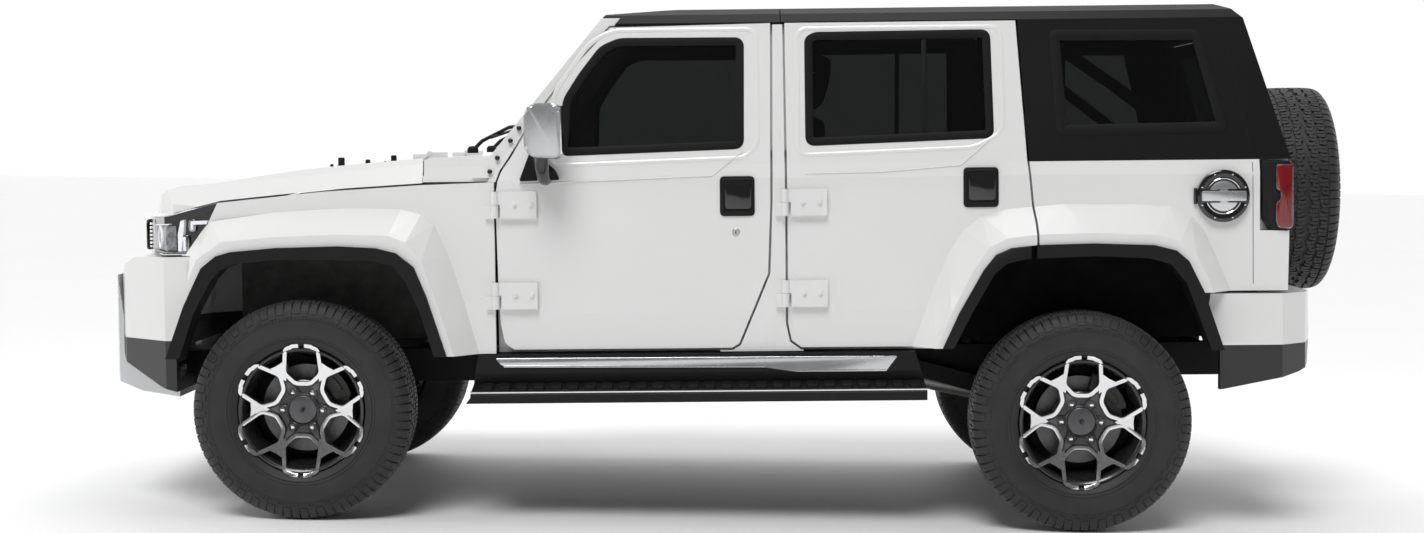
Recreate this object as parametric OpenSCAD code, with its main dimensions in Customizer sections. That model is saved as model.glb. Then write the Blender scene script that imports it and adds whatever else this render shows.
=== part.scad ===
// Lifted off-road 4x4 with a ladder frame, four doors, a black hard top and a spare wheel on
// its tailgate. The front points to -X, the driver sits on the -Y side, and +Z is up. The
// origin is on the ground below the middle of the whole vehicle.
//
// The body is drawn level, with X measured from the front axle and Z from a datum plane
// datum_z below the wheel centres. on_body() then tips it nose down and sets it on the axles.

/* [Stance] */
// Distance between the axles
wheelbase = 2745; // [2500:5:2900]
// Distance between the middles of the left and right tyres
track = 1580; // [1540:5:1620]
// Angle by which the body sits nose down
body_rake = 1.35; // [0:0.05:2]

/* [Wheels] */
// Outer diameter of a tyre
tyre_d = 776; // [640:2:800]
// Width of a tyre at its sidewalls
tyre_w = 265; // [225:5:285]
// Diameter over the rim flanges
rim_d = 466; // [420:2:490]
// Width over the rim flanges
rim_w = 228; // [190:2:240]
// Diameter of the brake disc
disc_d = 310; // [250:2:330]
// Diameter of the front wheel spindles
spindle_d = 50; // [36:1:60]

/* [Body widths] */
// Half width over the doors
door_half_w = 850; // [830:5:870]
// Half width at the waist, where the hard top starts
waist_half_w = 838; // [810:2:845]
// Half width at the top of the doors
cantrail_half_w = 745; // [700:5:770]
// Half width over the wheel arch trims
flare_half_w = 962; // [940:2:980]
// Half width over the side steps
step_half_w = 930; // [900:5:940]

/* [Body levels] */
// Level of the lower edge of the painted body
sill_z = 579; // [560:2:600]
// Level of the waist
belt_z = 1239; // [1220:2:1250]
// Level of the top of the doors
cantrail_z = 1740; // [1700:2:1760]
// Level of the roof's highest line
roof_z = 1815; // [1790:1:1830]

/* [Body stations] */
// Rear edge of the bonnet behind the front axle
cowl_x = 424; // [400:2:440]
// Front edge of the front doors behind the front axle
door_x = 690; // [680:1:700]
// Middle of the centre pillar behind the front axle
pillar_x = 1687; // [1650:1:1720]
// Rear edge of the rear doors ahead of the rear axle
rear_door_x = 181; // [170:1:190]
// Rear face of the body behind the rear axle
tail_x = 730; // [700:2:760]

/* [Panels] */
// Gap between a door and the body round it
door_gap = 8; // [6:0.5:12]
// Thickness of a door below its window
door_t = 50; // [40:1:60]
// Thickness of a door round its window
door_frame_t = 24; // [18:1:30]
// Thickness of the roof and hard top
roof_t = 36; // [25:1:45]
// Thickness of the bonnet
bonnet_t = 30; // [20:1:40]
// Thickness of the window glass
glass_t = 5; // [4:0.5:8]
// Clearance between a door and the frame that it shuts against
seal_gap = 6; // [5:0.5:10]

/* [Hinges] */
// Diameter of a door hinge pin
pin_d = 12; // [8:1:14]
// Clearance round a pin in its bore
pin_gap = 0.3; // [0.2:0.05:0.5]
// Outer diameter of a hinge barrel
barrel_d = 28; // [24:1:32]
// Height of a whole hinge
hinge_h = 94; // [70:2:110]

/* [Frame] */
// Distance from the middle of the vehicle to the middle of a frame rail
rail_y = 370; // [340:5:380]
// Width of a frame rail
rail_w = 80; // [60:2:90]
// Height of a frame rail
rail_h = 120; // [90:2:130]
// Level of the top of the frame rails
rail_z = 560; // [550:1:570]

/* [Hidden] */

// Paint and material colours
paint = "white";
trim_black = "#1b1b1c";
metal_grey = "#8a8d90";
dark_metal = "#3a3c3f";
glass_tint = "#3c4346";

// Wheels and axles
datum_z = 388;
axle_z = tyre_d / 2;
wheel_y = track / 2;
kingpin_inset = 90;
kingpin_y = wheel_y - kingpin_inset;
rear_x = wheelbase;

// Extent of the bumper and the spare wheel, and the place of the front axle that they give
bumper_nose_x = -766;
spare_z = 1116;
spare_reach = 307;
spare_rear_x = tail_x + spare_reach;
front_axle_x = -(wheelbase + spare_rear_x + bumper_nose_x) / 2 + 4;

// Levels of the side section
crease_z = 720;
shoulder_z = 1190;
ledge_z = 1286;
roof_edge_half_w = 640;
roof_edge_z = 1792;

// Body side seams: middle lines of the gaps
front_door_rear_x = pillar_x - 20;
rear_door_front_x = pillar_x + 23;
rear_door_rear_x = rear_x - rear_door_x;
body_rear_x = rear_x + tail_x;
all_half_w = 1200;

// Front screen: its outer plane leans back from its foot
screen_foot = [640, 1238];
screen_lean = 39.2;
function screen_x(z) = screen_foot[0] + (z - screen_foot[1]) * tan(screen_lean);

// ------------------------------------------------------------------ helpers

module on_body()
    translate([front_axle_x, 0, axle_z])
        rotate([0, -body_rake, 0])
            translate([0, 0, -datum_z]) children();

module both_sides() {
    children();
    mirror([0, 1, 0]) children();
}

// A drawing in X and Z, drawn out across the vehicle from y0 to y1
module across(y0, y1) translate([0, y1, 0]) rotate([90, 0, 0]) linear_extrude(y1 - y0) children();

// A drawing in Y and Z, drawn out along the vehicle from x0 to x1
module along(x0, x1) translate([x0, 0, 0]) rotate([90, 0, 90]) linear_extrude(x1 - x0) children();

module block(x, y, z) translate([x[0], y[0], z[0]]) cube([x[1] - x[0], y[1] - y[0], z[1] - z[0]]);

// A round bar along Y from y0 to y1
module bar_y(d, y0, y1) translate([0, y0, 0]) rotate([-90, 0, 0]) cylinder(d = d, h = y1 - y0, $fn = 48);

function mirrored(points) = [for (i = [len(points) - 1:-1:0]) [-points[i][0], points[i][1]]];
function both(points) = concat(points, mirrored(points));
function shifted(points, dx, dz) = [for (p = points) [p[0] + dx, p[1] + dz]];
function glass_half_w(z) = waist_half_w + (cantrail_half_w - waist_half_w) * (z - belt_z)
    / (cantrail_z - belt_z);

// ------------------------------------------------------------- side section

// Half of the body's section, inset by `low` under the windows and `up` beside them
function side_line(low, up, more) = [
    [door_half_w - 12 - low, sill_z - more],
    [door_half_w - low, crease_z],
    [door_half_w - low, shoulder_z],
    [waist_half_w - low, belt_z],
    [glass_half_w(ledge_z) - low, ledge_z],
    [glass_half_w(ledge_z) - up, ledge_z],
    [glass_half_w(cantrail_z + more) - up, cantrail_z + more],
];

module side_section(low, up, more = 0) polygon(both(side_line(low, up, more)));

// Both walls between two insets, each given as [below the windows, beside them]
module walls(outer, inner) {
    span = [cowl_x, body_rear_x + 60];
    difference() {
        along(span[0], span[1]) side_section(outer[0], outer[1]);
        along(span[0] - 1, span[1] + 1) side_section(inner[0], inner[1], 10);
    }
}

// ------------------------------------------------------------------ outlines

// Outline of the front door along the middle of its gap
function front_door_outline() = [
    [door_x - 3, 1135], [door_x + 4, 798], [door_x + 10, 680], [door_x + 24, 613],
    [door_x + 57, 588], [front_door_rear_x - 147, 588], [front_door_rear_x - 120, 604],
    [front_door_rear_x - 15, 854], [front_door_rear_x - 5, 1112], [front_door_rear_x, cantrail_z],
    [1095, cantrail_z - 10], [954, 1578], [807, 1382], [742, 1272], [door_x + 19, 1223],
    [door_x + 5, 1187],
];

// Outline of the rear door along the middle of its gap
function rear_door_outline() = [
    [rear_door_front_x + 4, 1112], [rear_door_front_x + 3, 680], [rear_door_front_x + 16, 615],
    [rear_door_front_x + 53, 588], [rear_x - 420, 588], [rear_x - 158, 850],
    [rear_door_rear_x + 20, 1028], [rear_door_rear_x, belt_z], [rear_door_rear_x - 31, cantrail_z],
    [rear_door_front_x, cantrail_z],
];

// Windows in the doors
function front_window() = [
    [930, 1286], [1554, 1305], [1557, 1674], [1130, 1676], [1068, 1650], [997, 1558], [941, 1469],
];
function rear_window() = [
    [rear_door_front_x + 86, 1313], [rear_door_rear_x - 131, 1334], [rear_door_rear_x - 137, 1693],
    [rear_door_front_x + 112, 1690], [rear_door_front_x + 86, 1676],
];
function quarter_window() = [
    [rear_x - 71, 1335], [rear_x + 515, 1342], [rear_x + 429, 1689], [rear_x - 92, 1694],
];

// Wheel openings inside the arch trims, and the outer edges of trims and flares
function front_opening() = [
    [-425, 540], [-357, 739], [-296, 851], [-260, 890], [-211, 909], [-73, 923], [145, 921],
    [270, 915], [341, 897], [385, 843], [436, 727], [492, 540],
];
function front_trim_edge() = [
    [-460, 579], [-393, 764], [-329, 896], [-277, 937], [-227, 951], [-70, 964], [148, 968],
    [281, 960], [352, 942], [414, 892], [456, 790], [524, 579],
];
function front_flare_edge() = [
    [-520, 590], [-420, 940], [-319, 1055], [-93, 1085], [178, 1100], [358, 1094], [429, 1075],
    [474, 1039], [526, 926], [577, 764], [628, 579],
];
function front_flare_crease() = [
    [-485, 590], [-348, 925], [-257, 987], [-78, 1002], [145, 1009], [324, 1003], [386, 980],
    [438, 913], [489, 770], [549, 579],
];
function rear_opening() = shifted([
    [-480, 540], [-392, 715], [-317, 853], [-274, 890], [-158, 904], [33, 910], [223, 901],
    [297, 879], [350, 815], [414, 644], [452, 540],
], rear_x, 0);
function rear_trim_edge() = shifted([
    [-499, 579], [-435, 716], [-350, 864], [-307, 917], [-254, 940], [-159, 950], [31, 954],
    [242, 946], [316, 927], [359, 890], [412, 783], [482, 579],
], rear_x, 0);
function rear_flare_crease() = shifted([
    [-516, 592], [-460, 720], [-375, 880], [-325, 945], [-262, 975], [-159, 986], [31, 990],
    [250, 982], [335, 960], [385, 915], [440, 800], [510, 579],
], rear_x, 0);
function rear_flare_edge() = shifted([
    [-592, 592], [-522, 785], [-468, 914], [-414, 999], [-350, 1052], [-253, 1075], [-61, 1090],
    [206, 1087], [313, 1078], [388, 1045], [431, 996], [473, 905], [520, 790], [560, 579],
], rear_x, 0);

// A flare on the -Y side, which swells from the body to its crease round the wheel opening
module flare(edge, crease, trim_edge) {
    difference() {
        hull() {
            across(-door_half_w + 2, -door_half_w + 12) polygon(edge);
            across(-flare_half_w + 14, -flare_half_w + 18) polygon(crease);
        }
        across(-all_half_w, 0) polygon(trim_edge);
        across(-all_half_w, 0) polygon([for (p = trim_edge) [p[0], p[1] - 60]]);
    }
}

// ------------------------------------------------------------------ chassis

rail_front_x = -520;
crossmember_x = [rail_front_x + 60, 330, 1150, 2050, rear_x + 520];
mount_x = [-300, 760, 1700, rear_x - 350, rear_x + 600];
mount_h = 40;
floor_z = rail_z + mount_h;
floor_t = 20;

// Towing eye on the rear crossmember: its bore, the plate round it, and the plate's thickness
tow_x = rear_x + 650;
tow_z = 515;
tow_bore_d = 28;
tow_plate_w = 90;
tow_plate_t = 20;

module tow_eye()
    translate([tow_x, 0, tow_z - tow_plate_t / 2]) difference() {
        union() {
            cylinder(d = tow_plate_w, h = tow_plate_t, $fn = 64);
            translate([-110, -tow_plate_w / 2, 0]) cube([110, tow_plate_w, tow_plate_t]);
        }
        translate([0, 0, -1]) cylinder(d = tow_bore_d, h = tow_plate_t + 2, $fn = 64);
    }

module frame_rails() color(dark_metal) on_body() {
    rail_x = [rail_front_x, rear_x + 640];
    tow_eye();
    union() {
        both_sides() block(rail_x, [-rail_y - rail_w / 2, -rail_y + rail_w / 2], [rail_z - rail_h, rail_z]);
        for (x = crossmember_x)
            block([x - 40, x + 40], [-rail_y, rail_y], [rail_z - 70, rail_z - 20]);
        for (x = mount_x)
            both_sides() translate([x, -rail_y, rail_z - 1])
                cylinder(d = 70, h = mount_h + 1, $fn = 32);
    }
}

// Cabin floor, bulkhead, load floor and the boxes over the rear wheels
tub_half_w = door_half_w - door_t - 60;
house_half_w = 620;
load_z = 760;
tunnel_half_w = 175;
tunnel_end_x = 1450;

module floor_tub() color(trim_black) on_body() {
    house_x = [rear_x - 480, rear_x + 460];
    house_z = 940;
    rear_end = body_rear_x - 60;
    union() {
        // floor of the cabin, between the wheels' boxes
        difference() {
            union() {
                block([560, house_x[0]], [-tub_half_w, tub_half_w], [floor_z, floor_z + floor_t]);
                block([560, rear_end], [-house_half_w, house_half_w], [floor_z, floor_z + floor_t]);
            }
            block([500, tunnel_end_x - floor_t], [-tunnel_half_w + floor_t, tunnel_half_w - floor_t],
                [floor_z - 1, tunnel_z]);
        }
        // tunnel over the gearbox
        difference() {
            block([560, tunnel_end_x], [-tunnel_half_w, tunnel_half_w], [floor_z, tunnel_z]);
            block([500, tunnel_end_x - floor_t], [-tunnel_half_w + floor_t, tunnel_half_w - floor_t],
                [floor_z - 1, tunnel_z - floor_t + 8]);
        }
        // bulkhead
        block([560, 560 + floor_t], [-tub_half_w, tub_half_w], [tunnel_z - 1, 1150]);
        both_sides() block([560, 560 + floor_t], [-tub_half_w, -tunnel_half_w + 1], [floor_z, 1150]);
        // step up to the load floor
        block([house_x[0] - 140, house_x[0] - 120], [-house_half_w, house_half_w], [floor_z, load_z]);
        block([house_x[0] - 140, rear_end], [-house_half_w, house_half_w], [load_z - floor_t, load_z]);
        // boxes over the wheels
        both_sides() {
            block([house_x[0] - floor_t, house_x[1] + floor_t], [-house_half_w, -house_half_w + floor_t],
                [floor_z, house_z + floor_t]);
            block([house_x[0] - floor_t, house_x[1] + floor_t], [-tub_half_w, -house_half_w + 1],
                [house_z, house_z + floor_t]);
            block([house_x[0] - floor_t, house_x[0]], [-tub_half_w, -house_half_w + 1],
                [floor_z, house_z + 1]);
            block([house_x[1], house_x[1] + floor_t], [-tub_half_w, -house_half_w + 1],
                [load_z - floor_t, house_z + 1]);
        }
    }
}

// ---------------------------------------------------------------- body sides

// Hinge axes: on the gap in front of each door, clear of its skin
hinge_y = door_half_w + barrel_d / 2 + 2;
hinge_z = [784, 1104];

// The half of a hinge that stays on the body: a knuckle with its pin, and a leaf
module body_hinge(x, z) {
    translate([x, -hinge_y, z - hinge_h / 2]) {
        cylinder(d = barrel_d, h = hinge_h / 2 - 0.5, $fn = 48);
        cylinder(d = pin_d, h = hinge_h, $fn = 48);
    }
    block([x - 34, x], [-hinge_y, -door_half_w - 1], [z - hinge_h / 2, z - 0.5]);
    block([x - 34, x - 12], [-hinge_y, -door_half_w + 3], [z - hinge_h / 2, z - 0.5]);
}

// The half that moves with the door: an eye on the pin, and a leaf on the door's skin
module door_hinge(x, z) {
    leaf_l = 148;
    difference() {
        union() {
            translate([x, -hinge_y, z + 0.5]) cylinder(d = barrel_d, h = hinge_h / 2 - 0.5, $fn = 48);
            block([x, x + leaf_l], [-hinge_y - 4, -door_half_w - 1], [z + 0.5, z + hinge_h / 2]);
            block([x + barrel_d / 2 + 6, x + leaf_l], [-hinge_y - 4, -door_half_w + 3],
                [z - hinge_h / 2, z + hinge_h / 2]);
        }
        translate([x, -hinge_y, z - hinge_h]) cylinder(d = pin_d + 2 * pin_gap, h = 2 * hinge_h, $fn = 48);
    }
}

// The space that a closed door and its gaps take up, on both sides
module door_space(outline)
    intersection() {
        walls([-flare_half_w + door_half_w - 20, -flare_half_w + door_half_w - 20],
            [door_t + seal_gap, door_frame_t + seal_gap]);
        across(-all_half_w, all_half_w) offset(delta = door_gap / 2) polygon(outline);
    }

// A wheel opening cut upward from below the sill, on both sides
module opening_cut(edge) across(-all_half_w, all_half_w) polygon(concat(edge,
    [[edge[len(edge) - 1][0], 300], [edge[0][0], 300]]));

module body_sides() color(paint) on_body() {
    ring_in = [door_t + seal_gap, door_frame_t + seal_gap];
    ring_out = [door_t + seal_gap + 40, door_frame_t + seal_gap + 36];
    lap = 26;
    difference() {
        union() {
            // the frame that the doors shut against
            difference() {
                intersection() {
                    walls(ring_in, ring_out);
                    across(-all_half_w, all_half_w) polygon([
                        [door_x, sill_z], [rear_x - 60, sill_z], [rear_x - 60, belt_z - 0.5],
                        [rear_door_rear_x, belt_z - 0.5], [rear_door_rear_x - 31, cantrail_z - 8],
                        [screen_x(cantrail_z - 8) + 74, cantrail_z - 8], [screen_x(belt_z) + 74, belt_z],
                        [door_x, 1180],
                    ]);
                }
                across(-all_half_w, all_half_w) offset(delta = -lap) polygon(front_door_outline());
                across(-all_half_w, all_half_w) offset(delta = -lap) polygon(rear_door_outline());
            }
            // centre pillars and rear quarter panels
            intersection() {
                walls([0, 0], [door_t + seal_gap + 1, door_frame_t + seal_gap + 1]);
                union() {
                    across(-all_half_w, all_half_w) polygon([
                        [front_door_rear_x - 190, sill_z], [rear_door_front_x + 60, sill_z],
                        [rear_door_front_x + 10, cantrail_z - 9], [front_door_rear_x - 10, cantrail_z - 9],
                    ]);
                    across(-all_half_w, all_half_w) polygon([
                        [rear_door_rear_x - 60, sill_z], [rear_door_rear_x - 60, belt_z - 0.5],
                        [body_rear_x + 4, belt_z - 0.5], [body_rear_x - 6, bumper_top_z + 8],
                        [rear_x + 300, bumper_top_z + 8], [rear_x + 300, sill_z],
                    ]);
                }
            }
            // rear corners beside the tailgate
            both_sides() block([body_rear_x - 60, body_rear_x - 6], [-door_half_w + 30, -tail_half_w],
                [bumper_top_z + 8, belt_z - 1]);
            both_sides() flare(rear_flare_edge(), rear_flare_crease(), rear_trim_edge());
        }
        door_space(front_door_outline());
        door_space(rear_door_outline());
        opening_cut(rear_trim_edge());
        block([rear_x + 300, body_rear_x + 200], [-all_half_w, all_half_w], [300, bumper_top_z + 8]);
        lamp_space(0.5);
    }
    both_sides() for (z = hinge_z) body_hinge(rear_door_front_x - 1, z);
    tail_hinge_posts();
}

// Half width of the opening for the tailgate, and the level of the rear bumper's top
tail_half_w = 758;
tail_strip_w = 42;
bumper_top_z = 771;

// The rear corner that a tail lamp fills, grown by `more`
module lamp_space(more)
    both_sides() block([body_rear_x - 104 - more, body_rear_x + 30], [-door_half_w - 20, -tail_half_w - tail_strip_w + more],
        [990 - more, belt_z + 10]);

module tail_lamps() color("darkred") on_body()
    intersection() {
        lamp_space(0);
        union() {
            intersection() {
                walls([-3, -3], [46, 46]);
                across(-all_half_w, all_half_w) polygon([
                    [body_rear_x - 104, 990], [body_rear_x + 2, 990], [body_rear_x + 8, belt_z - 2],
                    [body_rear_x - 104, belt_z - 2],
                ]);
            }
            both_sides() block([body_rear_x - 30, body_rear_x],
                [-door_half_w + 30, -tail_half_w - tail_strip_w], [990, belt_z - 2]);
        }
    }

// ------------------------------------------------------------ screen and roof

// The front screen's slab between two depths behind its outer plane, as a drawing in X and Z
function screen_slab(front, back, z0, z1) = [
    [screen_x(z0) + front, z0], [screen_x(z0) + back, z0],
    [screen_x(z1) + back, z1], [screen_x(z1) + front, z1],
];

module screen_outline(edge) polygon(both([
    [waist_half_w - 30 - edge, screen_foot[1] + 30 + edge / 2],
    [cantrail_half_w - 24 - edge, cantrail_z + 4 - edge / 2],
]));

module windscreen_frame() color(paint) on_body() {
    header_z = cantrail_z + 20;
    difference() {
        union() {
            intersection() {
                along(cowl_x, 1200) side_section(12, 12, 60);
                across(-all_half_w, all_half_w) polygon(screen_slab(0, 66, belt_z - 40, header_z));
            }
            // pillar sides, back to the doors
            intersection() {
                walls([12, 12], [door_t + seal_gap, door_frame_t + seal_gap]);
                across(-all_half_w, all_half_w) polygon([
                    [screen_x(belt_z) + 20, shoulder_z - 6], [screen_x(cantrail_z) + 20, cantrail_z - 9],
                    [1110, cantrail_z - 9], [door_x + 80, shoulder_z - 6],
                ]);
            }
            // scuttle in front of the screen
            difference() {
                intersection() {
                    along(cowl_x + 8, door_x - 2) side_section(30, 30);
                    across(-all_half_w, all_half_w) polygon([
                        [cowl_x + 8, shoulder_z - 4], [cowl_x + 8, 1262], [cowl_x + 30, 1272],
                        [screen_x(1276), 1276], [screen_x(1276) + 60, shoulder_z - 4],
                    ]);
                }
                block([cowl_x + 38, 640], [-waist_half_w + 90, waist_half_w - 90], [1000, 1246]);
            }
        }
        door_space(front_door_outline());
        along(0, 1400) screen_outline(46);
        intersection() {
            along(0, 1400) screen_outline(26);
            across(-all_half_w, all_half_w) polygon(screen_slab(-10, glass_t + 8, belt_z, header_z + 20));
        }
    }
    for (y = bonnet_hinge_y) bonnet_pin(y);
}

// Windscreen and the rear quarter windows
module fixed_glass() color(glass_tint) on_body() {
    intersection() {
        along(0, 1400) screen_outline(27);
        across(-all_half_w, all_half_w) polygon(screen_slab(8, 8 + glass_t, belt_z, cantrail_z + 40));
    }
    intersection() {
        walls([8, 8], [8 + glass_t, 8 + glass_t]);
        across(-all_half_w, all_half_w) offset(delta = 14) polygon(quarter_window());
    }
}

// Upper line of the roof from above the front doors to its rear edge, `drop` below the outside
function roof_crown(drop) = [
    [1290, roof_edge_z - 2 - drop], [pillar_x, roof_z - 8 - drop], [pillar_x + 440, roof_z - drop],
    [rear_x - 80, roof_z - 5 - drop], [body_rear_x - 230 - drop, roof_z - 22 - drop],
    [body_rear_x - 180 - drop, roof_z - 42 - drop],
];

module roof_outline(drop) polygon(concat([
    [screen_x(cantrail_z - 40), cantrail_z - 60], [screen_x(roof_edge_z - 40) + drop, roof_edge_z - 40 - drop],
    [screen_x(roof_edge_z - 40) + 20 + drop, roof_edge_z - 18 - drop],
], roof_crown(drop), [[body_rear_x - 120 - drop, cantrail_z - 60]]));

// Section of the roof and the walls under it, down to a foot
module roof_section(inset, foot) polygon(both([
    [glass_half_w(foot) - inset, foot],
    [cantrail_half_w - inset, cantrail_z],
    [cantrail_half_w - 35 - inset, roof_edge_z - 22 - inset / 2],
    [roof_edge_half_w - inset, roof_edge_z - inset],
    [0, roof_z + 12 - inset],
]));

// Underside of the roof's edge above the doors
roof_foot_z = cantrail_z - 4;

module roof_shell(x0, x1)
    difference() {
        intersection() {
            along(x0, x1) roof_section(0, cantrail_z - 60);
            across(-all_half_w, all_half_w) roof_outline(0);
        }
        intersection() {
            along(x0 - 1, x1 + 1) roof_section(roof_t, cantrail_z - 61);
            across(-all_half_w, all_half_w) roof_outline(roof_t);
        }
        block([x0 - 1, x1 + 1], [-all_half_w, all_half_w], [0, roof_foot_z]);
    }

roof_seam_x = pillar_x + 14;

module roof_panel() color(trim_black) on_body()
    difference() {
        roof_shell(900, roof_seam_x - 3);
        // seat on the header of the windscreen frame
        across(-all_half_w, all_half_w) polygon([
            [900, cantrail_z - 80], [screen_x(cantrail_z - 80) + 70, cantrail_z - 80],
            [screen_x(cantrail_z + 20.5) + 66, cantrail_z + 20.5], [900, cantrail_z + 20.5],
        ]);
    }

// Rear window opening in the hard top, shut by the tailgate
function tail_line(z) = z < belt_z ? body_rear_x + 6 : body_rear_x + 6 - (z - belt_z) * 0.3;

// Foot of the hard top's side walls on the body, and the front edge of those walls
hardtop_foot_z = belt_z + 0.5;
hardtop_wall_x = rear_door_rear_x + 0.5;
tail_wall_t = 60;

module hardtop() color(trim_black) on_body() {
    difference() {
        intersection() {
            along(roof_seam_x, body_rear_x + 50) roof_section(0, hardtop_foot_z);
            across(-all_half_w, all_half_w) polygon(concat([[1290, roof_foot_z]], roof_crown(0), [
                [tail_line(roof_foot_z), roof_foot_z], [tail_line(hardtop_foot_z), hardtop_foot_z],
                [hardtop_wall_x, hardtop_foot_z], [hardtop_wall_x - 31, roof_foot_z],
            ]));
        }
        // space inside
        intersection() {
            along(roof_seam_x - 1, body_rear_x) roof_section(roof_t, hardtop_foot_z - 1);
            across(-all_half_w, all_half_w) polygon(concat([[1290, roof_foot_z - 9]], roof_crown(roof_t), [
                [tail_line(roof_foot_z) - tail_wall_t, roof_foot_z - 9],
                [tail_line(hardtop_foot_z) - tail_wall_t, hardtop_foot_z - 1],
                [hardtop_wall_x - 90, hardtop_foot_z - 1], [hardtop_wall_x - 90, roof_foot_z - 9],
            ]));
        }
        door_space(rear_door_outline());
        across(-all_half_w, all_half_w) polygon(quarter_window());
        intersection() {
            walls([7.5, 7.5], [60, 60]);
            across(-all_half_w, all_half_w) offset(delta = 15) polygon(quarter_window());
        }
        along(rear_x, body_rear_x + 100) tail_opening(0);
    }
}

// ------------------------------------------------------------------ tailgate

tail_gap = 10;
tail_top_z = 1690;

// Opening in the tail, inset by `inset`, as a drawing in Y and Z
module tail_opening(inset) polygon(both([
    [tail_half_w - inset, bumper_top_z + 12 + inset], [tail_half_w - inset, belt_z],
    [glass_half_w(tail_top_z) - 70 - inset, tail_top_z - inset],
]));

tail_hinge_y = tail_half_w + 12;
tail_hinge_x = body_rear_x + 24;
tail_hinge_z = [880, 1160];

module tailgate() color(paint) on_body() {
    gate_t = 60;
    carrier_x = spare_front_x + tyre_w / 2 + hub_face - 2;
    difference() {
        union() {
            intersection() {
                along(rear_x, body_rear_x + 100) tail_opening(tail_gap);
                across(-all_half_w, all_half_w) polygon([
                    [body_rear_x + 6 - gate_t, 600], [body_rear_x + 6, 600], [body_rear_x + 6, belt_z],
                    [tail_line(tail_top_z), tail_top_z], [tail_line(tail_top_z) - 40, tail_top_z],
                    [tail_line(belt_z) - 44, ledge_z], [tail_line(belt_z) - gate_t, ledge_z - 10],
                ]);
            }
            // spare wheel carrier with its hub
            block([body_rear_x + 5, body_rear_x + 26], [-150, 150], [spare_z - 150, spare_z + 110]);
            translate([body_rear_x + 20, 0, spare_z]) rotate([0, 90, 0])
                cylinder(d = 150, h = carrier_x - body_rear_x - 20, $fn = 64);
            // hinge eyes
            for (z = tail_hinge_z) {
                block([body_rear_x + 5, body_rear_x + 13], [tail_half_w - tail_gap - 90, tail_half_w - tail_gap],
                    [z + 0.5, z + hinge_h / 2]);
                block([body_rear_x + 8, tail_hinge_x], [tail_half_w - tail_gap - 30, tail_hinge_y],
                    [z + 0.5, z + hinge_h / 2]);
                translate([tail_hinge_x, tail_hinge_y, z + 0.5])
                    cylinder(d = barrel_d, h = hinge_h / 2 - 0.5, $fn = 48);
            }
        }
        for (z = tail_hinge_z)
            translate([tail_hinge_x, tail_hinge_y, z - 10])
                cylinder(d = pin_d + 2 * pin_gap, h = hinge_h, $fn = 48);
        along(rear_x, body_rear_x + 100) polygon(both([[600, ledge_z + 60], [570, tail_top_z - 60]]));
        intersection() {
            along(rear_x, body_rear_x + 100) polygon(both([[616, ledge_z + 44], [584, tail_top_z - 46]]));
            across(-all_half_w, all_half_w) polygon(tail_slab(-20, 14));
        }
    }
}

// A slab between two depths in front of the tail's outer face
function tail_slab(near, far) = [
    [tail_line(belt_z) - near, belt_z], [tail_line(cantrail_z) - near, cantrail_z],
    [tail_line(cantrail_z) - far, cantrail_z], [tail_line(belt_z) - far, belt_z],
];

module tailgate_window() color(glass_tint) on_body()
    intersection() {
        along(rear_x, body_rear_x + 100) polygon(both([[615, ledge_z + 45], [583, tail_top_z - 47]]));
        across(-all_half_w, all_half_w) polygon(tail_slab(8, 8 + glass_t));
    }

// Fixed halves of the tailgate's hinges, on the strip beside the right tail lamp
module tail_hinge_posts()
    for (z = tail_hinge_z) {
        translate([tail_hinge_x, tail_hinge_y, z - hinge_h / 2]) {
            cylinder(d = barrel_d, h = hinge_h / 2 - 0.5, $fn = 48);
            cylinder(d = pin_d, h = hinge_h, $fn = 48);
        }
        block([body_rear_x - 8, tail_hinge_x], [tail_hinge_y, tail_hinge_y + barrel_d / 2],
            [z - hinge_h / 2, z - 0.5]);
    }

// ------------------------------------------------------------------ doors

// A door shell on the -Y side: its wall, with the window cut and glass channel
module door_shell(outline, window) {
    difference() {
        intersection() {
            walls([0, 0], [door_t, door_frame_t]);
            across(-all_half_w, 0) offset(delta = -door_gap / 2) polygon(outline);
        }
        across(-all_half_w, 0) polygon(window);
        intersection() {
            walls([7.5, 7.5], [8.5 + glass_t, 8.5 + glass_t]);
            across(-all_half_w, 0) offset(delta = 13) polygon(window);
        }
    }
}

module door_glass(window)
    intersection() {
        walls([8, 8], [8 + glass_t, 8 + glass_t]);
        across(-all_half_w, 0) offset(delta = 12) polygon(window);
    }

module left_front_door() on_body() {
    door_shell(front_door_outline(), front_window());
    for (z = hinge_z) door_hinge(door_x - 1, z);
}

module left_rear_door() on_body() {
    difference() {
        union() {
            door_shell(rear_door_outline(), rear_window());
            intersection() {
                flare(rear_flare_edge(), rear_flare_crease(), rear_trim_edge());
                across(-all_half_w, 0) offset(delta = -door_gap / 2) polygon(rear_door_outline());
            }
        }
        opening_cut(rear_trim_edge());
    }
    for (z = hinge_z) door_hinge(rear_door_front_x - 1, z);
}

module front_left_door() color(paint) left_front_door();
module front_right_door() color(paint) mirror([0, 1, 0]) left_front_door();
module rear_left_door() color(paint) left_rear_door();
module rear_right_door() color(paint) mirror([0, 1, 0]) left_rear_door();

module front_left_window() color(glass_tint) on_body() door_glass(front_window());
module front_right_window() color(glass_tint) mirror([0, 1, 0]) on_body() door_glass(front_window());
module rear_left_window() color(glass_tint) on_body() door_glass(rear_window());
module rear_right_window() color(glass_tint) mirror([0, 1, 0]) on_body() door_glass(rear_window());

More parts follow.
